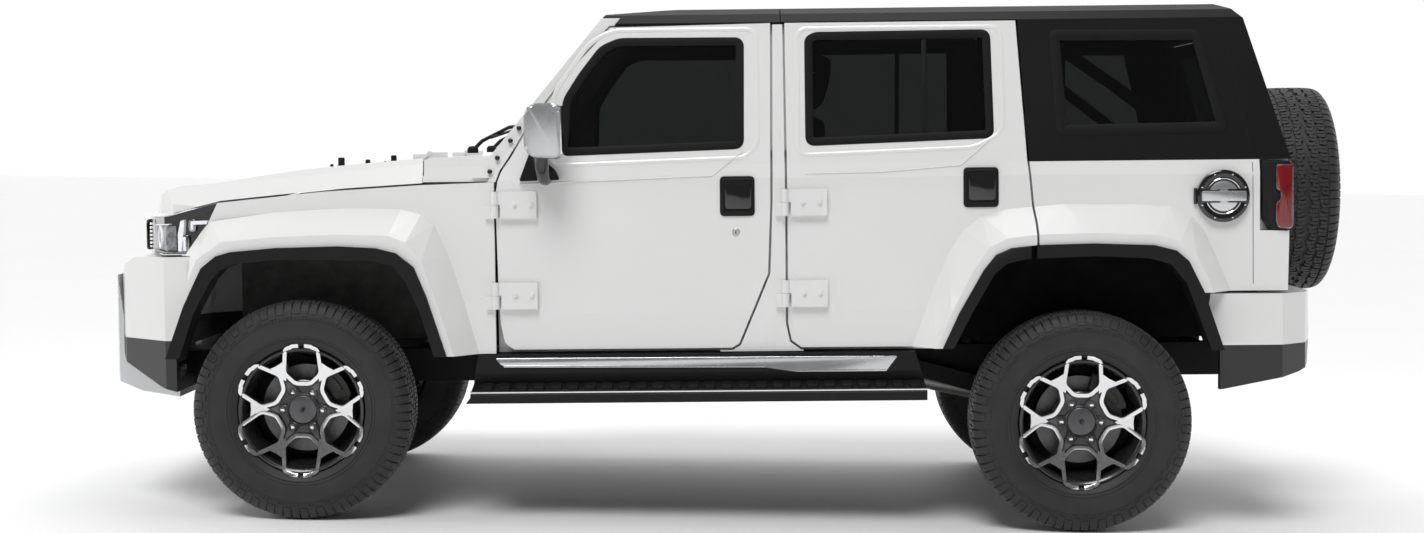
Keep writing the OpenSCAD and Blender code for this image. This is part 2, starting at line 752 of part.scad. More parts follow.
module mirror_left() on_body() {
    foot = [752, 922];
    head = [805, 940];
    // foot on the corner of the door, arm and head
    hull() {
        block([foot[0] + 20, foot[1] - 10], [-door_half_w - 0.3 - 8, -door_half_w - 0.3], [1160, 1236]);
        block([head[0] + 20, head[1] - 20], [-980, -950], [1220, 1260]);
    }
    hull() {
        block([head[0] + 18, head[1] - 8], [-1050, -920], [1264, 1460]);
        block([head[0], head[0] + 20], [-1036, -936], [1290, 1440]);
    }
    block([head[0] + 30, head[1] - 30], [-975, -950], [1240, 1270]);
}

module left_mirror() color(metal_grey) mirror_left();
module right_mirror() color(metal_grey) mirror([0, 1, 0]) mirror_left();

// ------------------------------------------------------------------ front end

// Plan of the front, drawn in X and Y, inset by `inset`
module nose_plan(inset, nose) linear_extrude(2500) polygon([
    [cowl_x + 400, -door_half_w + inset], [100, -door_half_w + inset], [-300, -door_half_w + 20 + inset],
    [-500 + inset, -door_half_w + 56 + inset], [nose + 60 + inset, -600], [nose + inset, -420],
    [nose + inset, 420], [nose + 60 + inset, 600], [-500 + inset, door_half_w - 56 - inset],
    [-300, door_half_w - 20 - inset], [100, door_half_w - inset], [cowl_x + 400, door_half_w - inset],
]);

// Shut line between the bonnet and the wings
function shut_line(drop) = [
    [-604, 1075 - drop], [-478, 1078 - drop], [-297, 1123 - drop], [78, 1159 - drop], [cowl_x, 1179 - drop],
];
shut_gap = 6;

module bonnet() color(paint) on_body() {
    difference() {
        bonnet_body(0);
        translate([0, 0, -bonnet_t]) bonnet_body(bonnet_t);
    }
    for (y = bonnet_hinge_y) bonnet_eye(y);
}

module bonnet_body(inset)
    intersection() {
        across(-all_half_w, all_half_w) polygon(concat(shut_line(inset > 0 ? 200 : -shut_gap / 2), [
            [cowl_x - 8 + (inset > 0 ? 60 : 0), 1270], [116, 1246], [-31, 1231], [-169, 1212], [-308, 1190],
            [-466, 1176], [-546, 1153], [-580, 1115],
        ]));
        translate([0, 0, 1000]) rotate([0, -5, 0]) translate([-900, 0, 0])
            along(0, 1600) polygon(both([
                [800 - inset, -200], [800 - inset, 125], [700 - inset, 212], [0, 1000],
            ]));
        nose_plan(30 + inset, -640);
    }

// Bonnet hinge: its pin lies in the gap at the bonnet's rear edge
bonnet_hinge_z = 1284;
bonnet_hinge_y = [-560, 560];
bonnet_eye_w = 40;
bonnet_pin_d = 10;

module bonnet_eye(y)
    translate([cowl_x, 0, bonnet_hinge_z]) difference() {
        union() {
            bar_y(20, y - bonnet_eye_w / 2, y + bonnet_eye_w / 2);
            block([-60, 0], [y - bonnet_eye_w / 2, y + bonnet_eye_w / 2], [-22, 0]);
        }
        bar_y(bonnet_pin_d + 2 * pin_gap, y - bonnet_eye_w, y + bonnet_eye_w);
    }

// The fixed pin of a bonnet hinge, between two lugs on the scuttle
module bonnet_pin(y) {
    lug_w = 10;
    translate([cowl_x, 0, bonnet_hinge_z]) {
        bar_y(bonnet_pin_d, y - bonnet_eye_w / 2 - lug_w, y + bonnet_eye_w / 2 + lug_w);
        for (side = [-1, 1]) {
            lug_y = y + side * (bonnet_eye_w / 2 + 0.5 + lug_w / 2);
            bar_y(18, lug_y - lug_w / 2, lug_y + lug_w / 2);
            block([0, 60], [lug_y - lug_w / 2, lug_y + lug_w / 2], [-26, 6]);
        }
    }
}

module front_wings() color(paint) on_body() {
    difference() {
        union() {
            // outer panels and the ledges beside the bonnet
            difference() {
                intersection() {
                    across(-all_half_w, all_half_w) polygon(concat(shut_line(shut_gap / 2), [
                        [door_x - 4, 1184], [door_x - 4, sill_z], [-420, sill_z], [-420, 936], [-604, 936],
                    ]));
                    nose_plan(0, -640);
                }
                nose_plan_inner();
            }
            both_sides() flare(front_flare_edge(), front_flare_crease(), front_trim_edge());
        }
        door_space(front_door_outline());
        opening_cut(front_trim_edge());
        headlamp_space(0.5);
        block([-800, -380], [-all_half_w, all_half_w], [300, 936]);
    }
    both_sides() for (z = hinge_z) body_hinge(door_x - 1, z);
}

// Space inside the wings, below the ledges beside the bonnet
ledge_t = 25;
wing_t = 22;
module nose_plan_inner() {
    block([-900, 1000], [-700, 700], [300, 1400]);
    intersection() {
        across(-all_half_w, all_half_w) polygon(concat(shut_line(ledge_t), [
            [1000, 1179 - ledge_t], [1000, 300], [-900, 300], [-900, 1075 - ledge_t],
        ]));
        nose_plan(wing_t, -640);
    }
}

module arch_trims() color(trim_black) on_body()
    both_sides() {
        arch_trim(front_trim_edge(), front_opening());
        difference() {
            arch_trim(rear_trim_edge(), rear_opening());
            block([rear_x - 700, rear_door_rear_x + 16], [-all_half_w, 0], [400, 1100]);
        }
    }

// A black trim on the -Y side: the band between a flare's opening and the wheel opening
module arch_trim(edge, opening)
    difference() {
        across(-flare_half_w, -door_half_w + 10) polygon(edge);
        across(-flare_half_w - 1, -door_half_w + 11) polygon(opening);
    }

// The corner that a headlamp fills, grown by `more`
module headlamp_space(more)
    intersection() {
        across(-all_half_w, all_half_w) offset(delta = more) polygon([
            [-660, 1060], [-660, 940], [-404, 940], [-336, 1041], [-297, 1119], [-478, 1073],
        ]);
        union() both_sides() block([-700, -200], [-all_half_w, -540 + more], [900, 1200]);
    }

module headlamps() color("lightgrey") on_body()
    difference() {
        intersection() {
            headlamp_space(0);
            nose_plan(4, -640);
        }
        both_sides() block([-430, 0], [-780, -300], [900, 1200]);
    }

module grille_panel() color(paint) on_body()
    difference() {
        intersection() {
            block([-700, -540], [-539.7, 539.7], [930, 1066]);
            nose_plan(2, -640);
        }
        for (y = [-450:100:450])
            block([-700, -500], [y - 36, y + 36], [950, 1046]);
    }

// Room that a steered front wheel sweeps behind the bumper's skin
module steer_room()
    both_sides() intersection() {
        translate([0, -kingpin_y, 0]) cylinder(r = norm([tyre_d / 2, wheel_y - kingpin_y + tyre_w / 2]) + 12,
            h = 2000, $fn = 96);
        block([-700, 700], [-770, -300], [-100, 2000]);
    }

module front_bumper() color(trim_black) on_body() {
    bumper_t = 36;
    difference() {
        intersection() {
            across(-all_half_w, all_half_w) polygon([
                [-640, 924], [-684, 900], [-741, 853], [-749, 752], [-735, 640], [-740, 560], [-520, 462],
                [-395, 430], [-404, 640], [-395, 930],
            ]);
            nose_plan(0, -752);
        }
        intersection() {
            across(-all_half_w, all_half_w) polygon([
                [-660, 890], [-700, 840], [-712, 620], [-520, 502], [-300, 470], [-300, 890],
            ]);
            nose_plan(bumper_t, -752);
        }
        block([-600, -300], [-500, 500], [400, 1000]);
        steer_room();
        opening_cut(front_trim_edge());
        across(-skid_half_w - 0.5, skid_half_w + 0.5) offset(delta = 0.5) polygon(skid_outline());
        across(-skid_half_w - 0.5, skid_half_w + 0.5) translate([-12, 0]) polygon(skid_outline());
    }
}

skid_half_w = 518;
function skid_outline() = [
    [-741, 853], [-752, 840], [-760, 598], [-766, 500], [-753, 466], [-658, 424],
    [rail_front_x, 400], [rail_front_x, 447], [-640, 499], [-721, 559], [-721, 700],
];

module front_skid_plate() color(metal_grey) on_body()
    difference() {
        intersection() {
            across(-skid_half_w, skid_half_w) polygon(skid_outline());
            nose_plan(-20, -752);
        }
        for (y = [-320, 320]) block([-900, -600], [y - 60, y + 60], [640, 800]);
    }

// ------------------------------------------------------------------ sides and rear

module side_steps() color(trim_black) on_body()
    both_sides() {
        intersection() {
            along(front_step_x, rear_x - 545) polygon([
                [-door_half_w - 12, sill_z - 4], [-door_half_w - 24, sill_z - 68], [-door_half_w - 10, 474],
                [-step_half_w + 10, 452], [-step_half_w, 440], [-step_half_w + 6, 410],
                [-step_half_w + 60, 404], [-door_half_w + 40, 430], [-door_half_w + 100, 500],
                [-door_half_w + 108, sill_z], [-door_half_w + 68, sill_z], [-door_half_w + 58, sill_z - 4],
            ]);
            across(-all_half_w, 0) polygon([
                [500, 300], [rear_x - 500, 300], [rear_x - 590, 600], [628, 600], [600, 430],
            ]);
        }
        for (x = step_bracket_x)
            block([x - 30, x + 30], [-door_half_w + 70, -rail_y - rail_w / 2], [470, 500]);
    }
step_bracket_x = [780, 1400, 1980];
front_step_x = 560;

module rear_bumper() color(paint) on_body() {
    difference() {
        intersection() {
            across(-all_half_w, all_half_w) polygon([
                [rear_x + 449, bumper_top_z], [rear_x + 833, bumper_top_z - 3], [rear_x + 850, 612],
                [rear_x + 825, 510], [rear_x + 771, 489], [rear_x + 496, 436], [rear_x + 395, 422],
                [rear_x + 395, 440],
            ]);
            tail_plan(0);
        }
        difference() {
            intersection() {
                block([rear_x + 300, rear_x + 800], [-all_half_w, all_half_w], [300, bumper_top_z - 36]);
                tail_plan(36);
            }
            spare_dip(36);
        }
        spare_dip(0);
        opening_cut(rear_trim_edge());
        block([rear_x, body_rear_x - 58], [-tub_half_w - 30, tub_half_w + 30], [300, 800]);
    }
}

// Dip in the top of the rear bumper that the foot of the spare tyre stands in, grown by `more`
spare_dip_half_w = 215;
spare_dip_gap = 14;
module spare_dip(more)
    block([spare_front_x - spare_dip_gap - more, rear_x + 900], [-spare_dip_half_w - more, spare_dip_half_w + more],
        [spare_z - tyre_d / 2 - spare_dip_gap - more, bumper_top_z + 10]);

module tail_plan(inset) linear_extrude(2000) polygon(let (w = door_half_w + 26 - inset) [
    [rear_x, -w], [rear_x + 700, -w], [rear_x + 800 - inset, -w + 90], [rear_x + 852 - inset, -w + 260],
    [rear_x + 852 - inset, w - 260], [rear_x + 800 - inset, w - 90], [rear_x + 700, w], [rear_x, w],
]);

fuel_cap_x = rear_x + 495;
fuel_cap_z = 1112;
fuel_cap_d = 184;

// Barrel of the cap's hinge, at its front edge: its diameter and its height
fuel_barrel_d = 12;
fuel_barrel_h = 56;

module fuel_cap() color(trim_black) on_body() {
    translate([fuel_cap_x - fuel_cap_d / 2 - 4, -door_half_w - 8, fuel_cap_z - fuel_barrel_h / 2])
        cylinder(d = fuel_barrel_d, h = fuel_barrel_h, $fn = 48);
    translate([fuel_cap_x, -door_half_w - 0.3, fuel_cap_z]) rotate([90, 0, 0]) {
        cylinder(d = fuel_cap_d, h = 16, $fn = 96);
        cylinder(d = fuel_cap_d - 60, h = 22, $fn = 96);
        translate([-fuel_cap_d / 2 + 34, -8, 20]) cube([fuel_cap_d - 68, 16, 8]);
    }
}

// ------------------------------------------------------------------ cabin

module dashboard() color(trim_black) {
    dashboard_block();
    steering_column();
}

module dashboard_block() on_body()
    across(-690, 690) polygon([
        [580.3, 900], [580.3, 1150], [690, 1182], [860, 1180], [910, 1130], [880, 1000], [760, 900],
    ]);

// Steering column, which ends just short of the wheel's hub
module steering_column() on_body()
    translate(steering_wheel_at) rotate([0, steering_tilt, 0]) translate([0, 0, -200])
        cylinder(d = 70, h = 200 - 70 - 0.3, $fn = 48);

steering_wheel_at = [985, -370, 1130];
steering_tilt = 64;

module steering_wheel() color(trim_black) on_body()
    translate(steering_wheel_at) rotate([0, steering_tilt, 0]) {
        rotate_extrude($fn = 96) translate([185, 0]) circle(d = 32, $fn = 24);
        for (a = [0, 120, 240]) rotate([0, 0, a]) translate([0, -18, -8]) cube([184, 36, 12]);
        translate([0, 0, -30]) cylinder(d = 130, h = 40, $fn = 48);
        translate([0, 0, -70]) cylinder(d = 50, h = 60, $fn = 32);
    }

module seat(x, half_w, back_h)
    both_sides() across(-half_w[1], -half_w[0]) polygon(shifted([
        [0, floor_z + floor_t + 0.3], [40, 830], [10, 860], [60, 900], [400, 870], [470, 880],
        [640, 880 + back_h], [700, 890 + back_h], [720, 870 + back_h], [580, 820], [520, floor_z + floor_t + 0.3],
    ], x, 0));

module front_seats() color("#2a2a2c") on_body() {
    seat(1120, [tunnel_half_w + 15, 655], 560);
    both_sides() across(-520, -330) polygon([[1770, 1430], [1830, 1430], [1880, 1640], [1800, 1640]]);
}

module rear_bench() color("#2a2a2c") on_body()
    both_sides() across(-house_half_w + floor_t + 6, -5) polygon(shifted([
        [-615, load_z + 0.3], [-640, 790], [-690, 820], [-700, 870], [-640, 905], [-300, 880],
        [-180, 1360], [-100, 1365], [-80, 1340], [-170, 840], [-200, load_z + 0.3],
    ], rear_x, 0));

// ------------------------------------------------------------------ running gear

rail_inner_y = rail_y - rail_w / 2;

// Engine with its gearbox behind, on mounts that stand on the rails and on a crossmember
module engine_block() color(dark_metal) on_body() {
    block([-330, 430], [-rail_inner_y + 30, rail_inner_y - 30], [rail_z + 30, 1060]);
    both_sides() block([0, 120], [-rail_y - 20, -rail_inner_y + 31], [rail_z, rail_z + 60]);
    block([429, gearbox_end_x], [-140, 140], [rail_z - 20, tunnel_z - 20]);
}
gearbox_end_x = 1190;
tunnel_z = 730;

// Rear propeller shaft between the gearbox and the rear axle's pinion, with a joint at each end
module propshafts() color(metal_grey) on_body() {
    joint_d = 84;
    front = [gearbox_end_x + joint_d / 2 + 0.3, 600];
    rear = [rear_x - pinion_l - joint_d / 2 - 1, datum_z - (rear_x - pinion_l) * sin(body_rake)];
    translate([front[0], 0, front[1]]) sphere(d = joint_d, $fn = 48);
    translate([rear[0], 0, rear[1]]) sphere(d = joint_d, $fn = 48);
    translate([front[0], 0, front[1]])
        rotate([0, 90 + atan2(front[1] - rear[1], rear[0] - front[0]), 0])
            cylinder(d = 64, h = norm(rear - front), $fn = 48);
}

// Exhaust pipe and silencer along the inside of the right rail
module exhaust() color(metal_grey) on_body() {
    pipe_d = 60;
    silencer_d = 170;
    z = 450;
    translate([600, rail_inner_y - pipe_d / 2 - 0.3, z]) rotate([0, 90, 0]) cylinder(d = pipe_d, h = 1500, $fn = 32);
    translate([1300, rail_inner_y - silencer_d / 2 - 0.3, z - 10]) rotate([0, 90, 0])
        cylinder(d = silencer_d, h = 600, $fn = 48);
}

module fuel_tank() color(trim_black) on_body()
    block([1230, 1960], [-rail_inner_y + 0.3, -60], [rail_z - 150, rail_z + 20]);

knuckle_r = 44;
pin_h = 34;
kingpin_half_h = 120;

// Front arms, drawn level in the ground's own frame
module front_suspension() color(dark_metal) translate([front_axle_x, 0, axle_z])
    both_sides()
        for (z = [-kingpin_half_h - pin_h / 2, kingpin_half_h + pin_h / 2])
            difference() {
                hull() {
                    translate([0, -kingpin_y, z - pin_h / 2 + 2]) cylinder(d = 52, h = pin_h - 4, $fn = 32);
                    translate([-110, -rail_y - rail_w / 2 - 0.1 - 10, z - pin_h / 2 + 2]) cube([220, 10, pin_h - 4]);
                }
                translate([0, -kingpin_y, z - pin_h]) cylinder(d = 24 + 2 * pin_gap, h = 2 * pin_h, $fn = 48);
            }

module left_knuckle_body() translate([front_axle_x, 0, axle_z]) {
    translate([0, -kingpin_y, -kingpin_half_h]) cylinder(r = 26, h = 2 * kingpin_half_h, $fn = 48);
    translate([0, -kingpin_y, -kingpin_half_h - pin_h]) cylinder(d = 24, h = 2 * (kingpin_half_h + pin_h), $fn = 48);
    bar_y(2 * knuckle_r, -kingpin_y - 50, -kingpin_y);
    bar_y(spindle_d, -wheel_y - 20, -kingpin_y);
}

module left_knuckle() color(dark_metal) left_knuckle_body();
module right_knuckle() color(dark_metal) mirror([0, 1, 0]) left_knuckle_body();

module rear_axle() color(dark_metal) translate([front_axle_x + wheelbase, 0, axle_z]) {
    bar_y(90, -kingpin_y, kingpin_y);
    bar_y(spindle_d, -wheel_y - 20, wheel_y + 20);
    sphere(d = 230, $fn = 48);
    translate([-pinion_l, 0, 0]) rotate([0, 90, 0]) cylinder(d = 96, h = pinion_l, $fn = 48);
    // trailing arms, whose front ends bear on the frame rails
    for (side = [-1, 1]) hull() {
        link_y = side * (rail_y + rail_w / 2 + link_w / 2);
        bar_y(70, link_y - link_w / 2, link_y + link_w / 2);
        translate([-620, 0, 160]) bar_y(56, link_y - link_w / 2, link_y + link_w / 2);
    }
}
pinion_l = 170;
link_w = 44;

// A wheel's pieces, with their middle at the origin and their outer face to -Y
module tyre_body() rotate([90, 0, 0]) rotate_extrude($fn = 128) polygon([
    [rim_d / 2 - 14, -rim_w / 2 + 8], [rim_d / 2 + 8, -rim_w / 2 - 8], [tyre_d / 2 - 90, -tyre_w / 2],
    [tyre_d / 2 - 40, -tyre_w / 2 + 6], [tyre_d / 2 - 10, -tyre_w / 2 + 22], [tyre_d / 2, -tyre_w / 2 + 46],
    [tyre_d / 2, tyre_w / 2 - 46], [tyre_d / 2 - 10, tyre_w / 2 - 22], [tyre_d / 2 - 40, tyre_w / 2 - 6],
    [tyre_d / 2 - 90, tyre_w / 2], [rim_d / 2 + 8, rim_w / 2 + 8], [rim_d / 2 - 14, rim_w / 2 - 8],
    [rim_d / 2 - 14, rim_w / 2 - 26], [rim_d / 2 - 14, -rim_w / 2 + 26],
]);

hub_face = -34;
module rim_body(bore) rotate([90, 0, 0]) difference() {
    union() {
        // barrel
        rotate_extrude($fn = 128) polygon([
            [rim_d / 2 - 30, -rim_w / 2 + 4], [rim_d / 2 - 14.5, -rim_w / 2 + 7],
            [rim_d / 2 - 14.5, rim_w / 2 - 7], [rim_d / 2 - 30, rim_w / 2 - 4],
        ]);
        // hub and brake disc
        translate([0, 0, hub_face - 2]) cylinder(d = 160, h = 90, $fn = 96);
        if (bore) translate([0, 0, -24]) cylinder(d = disc_d, h = 24, $fn = 96);
        // spokes
        for (a = [0:60:300]) rotate([0, 0, a]) translate([60, -22, 54]) cube([rim_d / 2 - 80, 44, 40]);
        translate([0, 0, 40]) cylinder(d = 180, h = 30, $fn = 96);
    }
    if (bore) translate([0, 0, -200]) cylinder(d = spindle_d + 2 * pin_gap, h = 224, $fn = 64);
}

module at_wheel(x, side) translate([front_axle_x + x, side * wheel_y, axle_z]) rotate([0, 0, side > 0 ? 180 : 0]) children();

module front_left_tyre() color("#202021") at_wheel(0, -1) tyre_body();
module front_right_tyre() color("#202021") at_wheel(0, 1) tyre_body();
module rear_left_tyre() color("#202021") at_wheel(wheelbase, -1) tyre_body();
module rear_right_tyre() color("#202021") at_wheel(wheelbase, 1) tyre_body();
module front_left_rim() color(metal_grey) at_wheel(0, -1) rim_body(true);
module front_right_rim() color(metal_grey) at_wheel(0, 1) rim_body(true);
module rear_left_rim() color(metal_grey) at_wheel(wheelbase, -1) rim_body(true);
module rear_right_rim() color(metal_grey) at_wheel(wheelbase, 1) rim_body(true);

spare_front_x = body_rear_x + spare_reach - tyre_w;
module at_spare() on_body() translate([spare_front_x + tyre_w / 2, 0, spare_z]) rotate([0, 0, 90]) children();
module spare_tyre() color("#202021") at_spare() tyre_body();
module spare_rim() color(metal_grey) at_spare() rim_body(false);

frame_rails();
floor_tub();
body_sides();
windscreen_frame();
fixed_glass();
roof_panel();
hardtop();
front_wings();
arch_trims();
grille_panel();
headlamps();
front_bumper();
front_skid_plate();
rear_bumper();
side_steps();
tail_lamps();
dashboard();
front_seats();
rear_bench();
engine_block();
front_suspension();
rear_axle();
propshafts();
exhaust();
fuel_tank();
steering_wheel();
fuel_cap();
bonnet();
tailgate();
tailgate_window();
spare_tyre();
spare_rim();
front_left_door();
front_right_door();
rear_left_door();
rear_right_door();
front_left_window();
front_right_window();
rear_left_window();
rear_right_window();
left_mirror();
right_mirror();
left_knuckle();
right_knuckle();
front_left_tyre();
front_right_tyre();
rear_left_tyre();
rear_right_tyre();
front_left_rim();
front_right_rim();
rear_left_rim();
rear_right_rim();
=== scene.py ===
import math

import bmesh
import bpy
from mathutils import Matrix, Vector


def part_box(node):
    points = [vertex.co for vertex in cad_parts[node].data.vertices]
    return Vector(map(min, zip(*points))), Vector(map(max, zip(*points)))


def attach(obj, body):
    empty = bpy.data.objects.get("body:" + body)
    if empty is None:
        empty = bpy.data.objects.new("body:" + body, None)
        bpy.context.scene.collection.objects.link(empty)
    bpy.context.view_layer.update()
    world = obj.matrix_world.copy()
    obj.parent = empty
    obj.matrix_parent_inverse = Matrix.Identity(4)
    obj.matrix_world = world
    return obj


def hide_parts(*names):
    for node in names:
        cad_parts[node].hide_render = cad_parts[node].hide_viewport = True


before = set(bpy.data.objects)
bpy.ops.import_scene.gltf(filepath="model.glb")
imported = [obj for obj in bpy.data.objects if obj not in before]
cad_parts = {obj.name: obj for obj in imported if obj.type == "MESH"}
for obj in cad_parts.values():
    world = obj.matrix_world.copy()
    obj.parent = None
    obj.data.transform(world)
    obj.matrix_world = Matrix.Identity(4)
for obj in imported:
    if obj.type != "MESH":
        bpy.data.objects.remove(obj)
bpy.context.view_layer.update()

# ---------------------------------------------------------------------------------------------
# Frame. The body is drawn level in millimetres, with x from the front axle towards the rear,
# y across (the driver's side is negative) and z from a plane 388 mm below the wheel centres.
# ---------------------------------------------------------------------------------------------
MM = 0.001
RAKE = math.radians(1.35)
AXLE_LEVEL = 388


def middle(node):
    low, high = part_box(node)
    return (low + high) / 2


FRONT = middle("front_left_tyre")
REAR = middle("rear_left_tyre")
SPARE = middle("spare_tyre")
RIM_R = (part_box("front_left_rim")[1].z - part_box("front_left_rim")[0].z) / 2
WHEELBASE = (REAR.x - FRONT.x) / MM

LEVEL = (
    Matrix.Translation((FRONT.x, 0, FRONT.z))
    @ Matrix.Rotation(-RAKE, 4, "Y")
    @ Matrix.Scale(MM, 4)
    @ Matrix.Translation((0, 0, -AXLE_LEVEL))
)
DOOR_Y = 850
SIDES = {"left": -1, "right": 1}


def between_stops(stops, at):
    """Value at a place on a line of (place, value) stops, level beyond its ends."""
    if at <= stops[0][0]:
        return stops[0][1]
    for (a0, b0), (a1, b1) in zip(stops, stops[1:]):
        if at <= a1:
            return b0 + (b1 - b0) * (at - a0) / (a1 - a0)
    return stops[-1][1]


def skin(z):
    """Half width of the body's side at a level."""
    return between_stops([(579, 838), (720, 850), (1190, 850), (1239, 838), (1740, 745), (1800, 734)], z)


# ---------------------------------------------------------------------------------------------
# Materials
# ---------------------------------------------------------------------------------------------
def cloudy(name, scale, detail, stops, tones, gloss):
    """A material whose colour and roughness each run between two values, by soft noise."""
    mat = bpy.data.materials.new(name)
    mat.use_nodes = True
    nodes, links = mat.node_tree.nodes, mat.node_tree.links
    bsdf = nodes["Principled BSDF"]
    place = nodes.new("ShaderNodeTexCoord")
    cloud = nodes.new("ShaderNodeTexNoise")
    cloud.inputs["Scale"].default_value = scale
    cloud.inputs["Detail"].default_value = detail
    links.new(place.outputs["Object"], cloud.inputs["Vector"])
    shade = nodes.new("ShaderNodeValToRGB")
    for element, stop, tone in zip(shade.color_ramp.elements, stops, tones):
        element.position = stop
        element.color = (*tone, 1)
    links.new(cloud.outputs["Fac"], shade.inputs["Fac"])
    links.new(shade.outputs["Color"], bsdf.inputs["Base Color"])
    haze = nodes.new("ShaderNodeMapRange")
    haze.inputs["To Min"].default_value, haze.inputs["To Max"].default_value = gloss
    links.new(cloud.outputs["Fac"], haze.inputs["Value"])
    links.new(haze.outputs["Result"], bsdf.inputs["Roughness"])
    return mat, bsdf, place


def surface(
    name, colour, rough, metal=0.0, coat=0.0, tone=(3.0, 0.04), grain=(400.0, 0.05, 0.0004),
    kind="noise", spread=0.06, sheen=0.0, specular=0.5,
):
    """A procedural finish: colour and roughness vary with `tone`, and `grain` sets the fine bump."""
    scale, vary = tone
    tones = [[max(0.0, c * (1 - vary)) for c in colour], [min(1.0, c * (1 + vary)) for c in colour]]
    gloss = (max(0.02, rough - spread), min(1.0, rough + spread))
    mat, bsdf, place = cloudy(name, scale, 6, (0.3, 0.7), tones, gloss)
    nodes, links = mat.node_tree.nodes, mat.node_tree.links
    bsdf.inputs["Metallic"].default_value = metal
    bsdf.inputs["Coat Weight"].default_value = coat
    bsdf.inputs["Coat Roughness"].default_value = 0.04
    bsdf.inputs["Sheen Weight"].default_value = sheen
    bsdf.inputs["Specular IOR Level"].default_value = specular
    if kind == "cells":
        fine = nodes.new("ShaderNodeTexVoronoi")
        height = fine.outputs["Distance"]
    elif kind == "weave":
        fine = nodes.new("ShaderNodeTexWave")
        fine.inputs["Distortion"].default_value = 1.5
        height = fine.outputs["Fac"]
    else:
        fine = nodes.new("ShaderNodeTexNoise")
        fine.inputs["Detail"].default_value = 4
        height = fine.outputs["Fac"]
    fine.inputs["Scale"].default_value = grain[0]
    links.new(place.outputs["Object"], fine.inputs["Vector"])
    bump = nodes.new("ShaderNodeBump")
    bump.inputs["Strength"].default_value = grain[1]
    bump.inputs["Distance"].default_value = grain[2]
    links.new(height, bump.inputs["Height"])
    links.new(bump.outputs["Normal"], bsdf.inputs["Normal"])
    return mat


def two_tone(name, upper, lower, level):
    """Copy of `upper` whose colour and gloss change to those of `lower` under a level in the body."""
    mat = upper.copy()
    mat.name = name
    nodes, links = mat.node_tree.nodes, mat.node_tree.links
    bsdf = nodes["Principled BSDF"]
    place = nodes.new("ShaderNodeTexCoord")
    height = nodes.new("ShaderNodeVectorMath")
    height.operation = "DOT_PRODUCT"
    links.new(place.outputs["Object"], height.inputs[0])
    height.inputs[1].default_value = (-math.sin(RAKE), 0, math.cos(RAKE))
    edge = nodes.new("ShaderNodeMapRange")
    base = (level - AXLE_LEVEL) * MM + FRONT.z * math.cos(RAKE) - FRONT.x * math.sin(RAKE)
    edge.inputs["From Min"].default_value = base - 0.0006
    edge.inputs["From Max"].default_value = base + 0.0006
    links.new(height.outputs["Value"], edge.inputs["Value"])
    for socket, value in (("Base Color", (*lower["colour"], 1)), ("Roughness", lower["rough"])):
        old = bsdf.inputs[socket].links[0].from_socket
        mix = nodes.new("ShaderNodeMix")
        mix.data_type = "RGBA" if socket == "Base Color" else "FLOAT"
        a, b, out = (6, 7, 2) if socket == "Base Color" else (2, 3, 0)
        links.new(edge.outputs["Result"], mix.inputs[0])
        mix.inputs[a].default_value = value
        links.new(old, mix.inputs[b])
        links.new(mix.outputs[out], bsdf.inputs[socket])
    bsdf.inputs["Coat Weight"].default_value = lower.get("coat", 0.3)
    return mat


def glazing(name, tint):
    tones = [[c * 0.92 for c in tint], tint]
    mat, bsdf, _ = cloudy(name, 1.2, 2, (0, 1), tones, (0.0, 0.02))
    bsdf.inputs["Transmission Weight"].default_value = 1.0
    bsdf.inputs["IOR"].default_value = 1.45
    return mat


def glowing(name, colour, strength):
    mat = surface(name, colour, 0.25, tone=(30.0, 0.05))
    bsdf = mat.node_tree.nodes["Principled BSDF"]
    bsdf.inputs["Emission Color"].default_value = (*colour, 1)
    bsdf.inputs["Emission Strength"].default_value = strength
    return mat


PAINT = surface("paint_white", (0.775, 0.775, 0.77), 0.30, coat=0.7, tone=(1.3, 0.012),
                grain=(900.0, 0.04, 0.0003), spread=0.03)
HARDTOP = surface("hardtop_black", (0.008, 0.008, 0.0085), 0.42, tone=(2.0, 0.15),
                  grain=(1500.0, 0.25, 0.0004), kind="cells", specular=0.15)
PLASTIC = surface("black_plastic", (0.007, 0.007, 0.0075), 0.50, tone=(6.0, 0.18),
                  grain=(900.0, 0.35, 0.0005), kind="cells", specular=0.25)
GLOSS_BLACK = surface("gloss_black", (0.008, 0.008, 0.009), 0.16, coat=0.6, tone=(5.0, 0.1),
                      grain=(500.0, 0.02, 0.0002))
SEAL = surface("rubber_seal", (0.005, 0.005, 0.005), 0.62, tone=(20.0, 0.2), grain=(700.0, 0.2, 0.0003),
               specular=0.2)
RUBBER = surface("tyre_rubber", (0.015, 0.015, 0.0155), 0.6, tone=(14.0, 0.3),
                 grain=(500.0, 0.45, 0.0008), sheen=0.15)
MACHINED = surface("machined_alloy", (0.80, 0.80, 0.81), 0.20, metal=1.0, tone=(60.0, 0.04),
                   grain=(1400.0, 0.05, 0.0002))
RIM_DARK = surface("rim_dark_paint", (0.018, 0.018, 0.019), 0.28, coat=0.5, tone=(30.0, 0.15),
                   grain=(800.0, 0.06, 0.0002))
RIM_GREY = surface("rim_grey_paint", (0.10, 0.10, 0.105), 0.35, metal=0.7, coat=0.3, tone=(25.0, 0.15),
                   grain=(900.0, 0.1, 0.0002))
CHROME = surface("chrome", (0.86, 0.86, 0.87), 0.07, metal=1.0, tone=(8.0, 0.03),
                 grain=(300.0, 0.01, 0.0001), spread=0.03)
SILVER = surface("silver_trim", (0.62, 0.63, 0.64), 0.26, metal=0.85, coat=0.3, tone=(9.0, 0.05),
                 grain=(1100.0, 0.05, 0.0002))
STEEL = surface("brake_steel", (0.15, 0.15, 0.155), 0.42, metal=1.0, tone=(40.0, 0.2),
                grain=(600.0, 0.2, 0.0003))
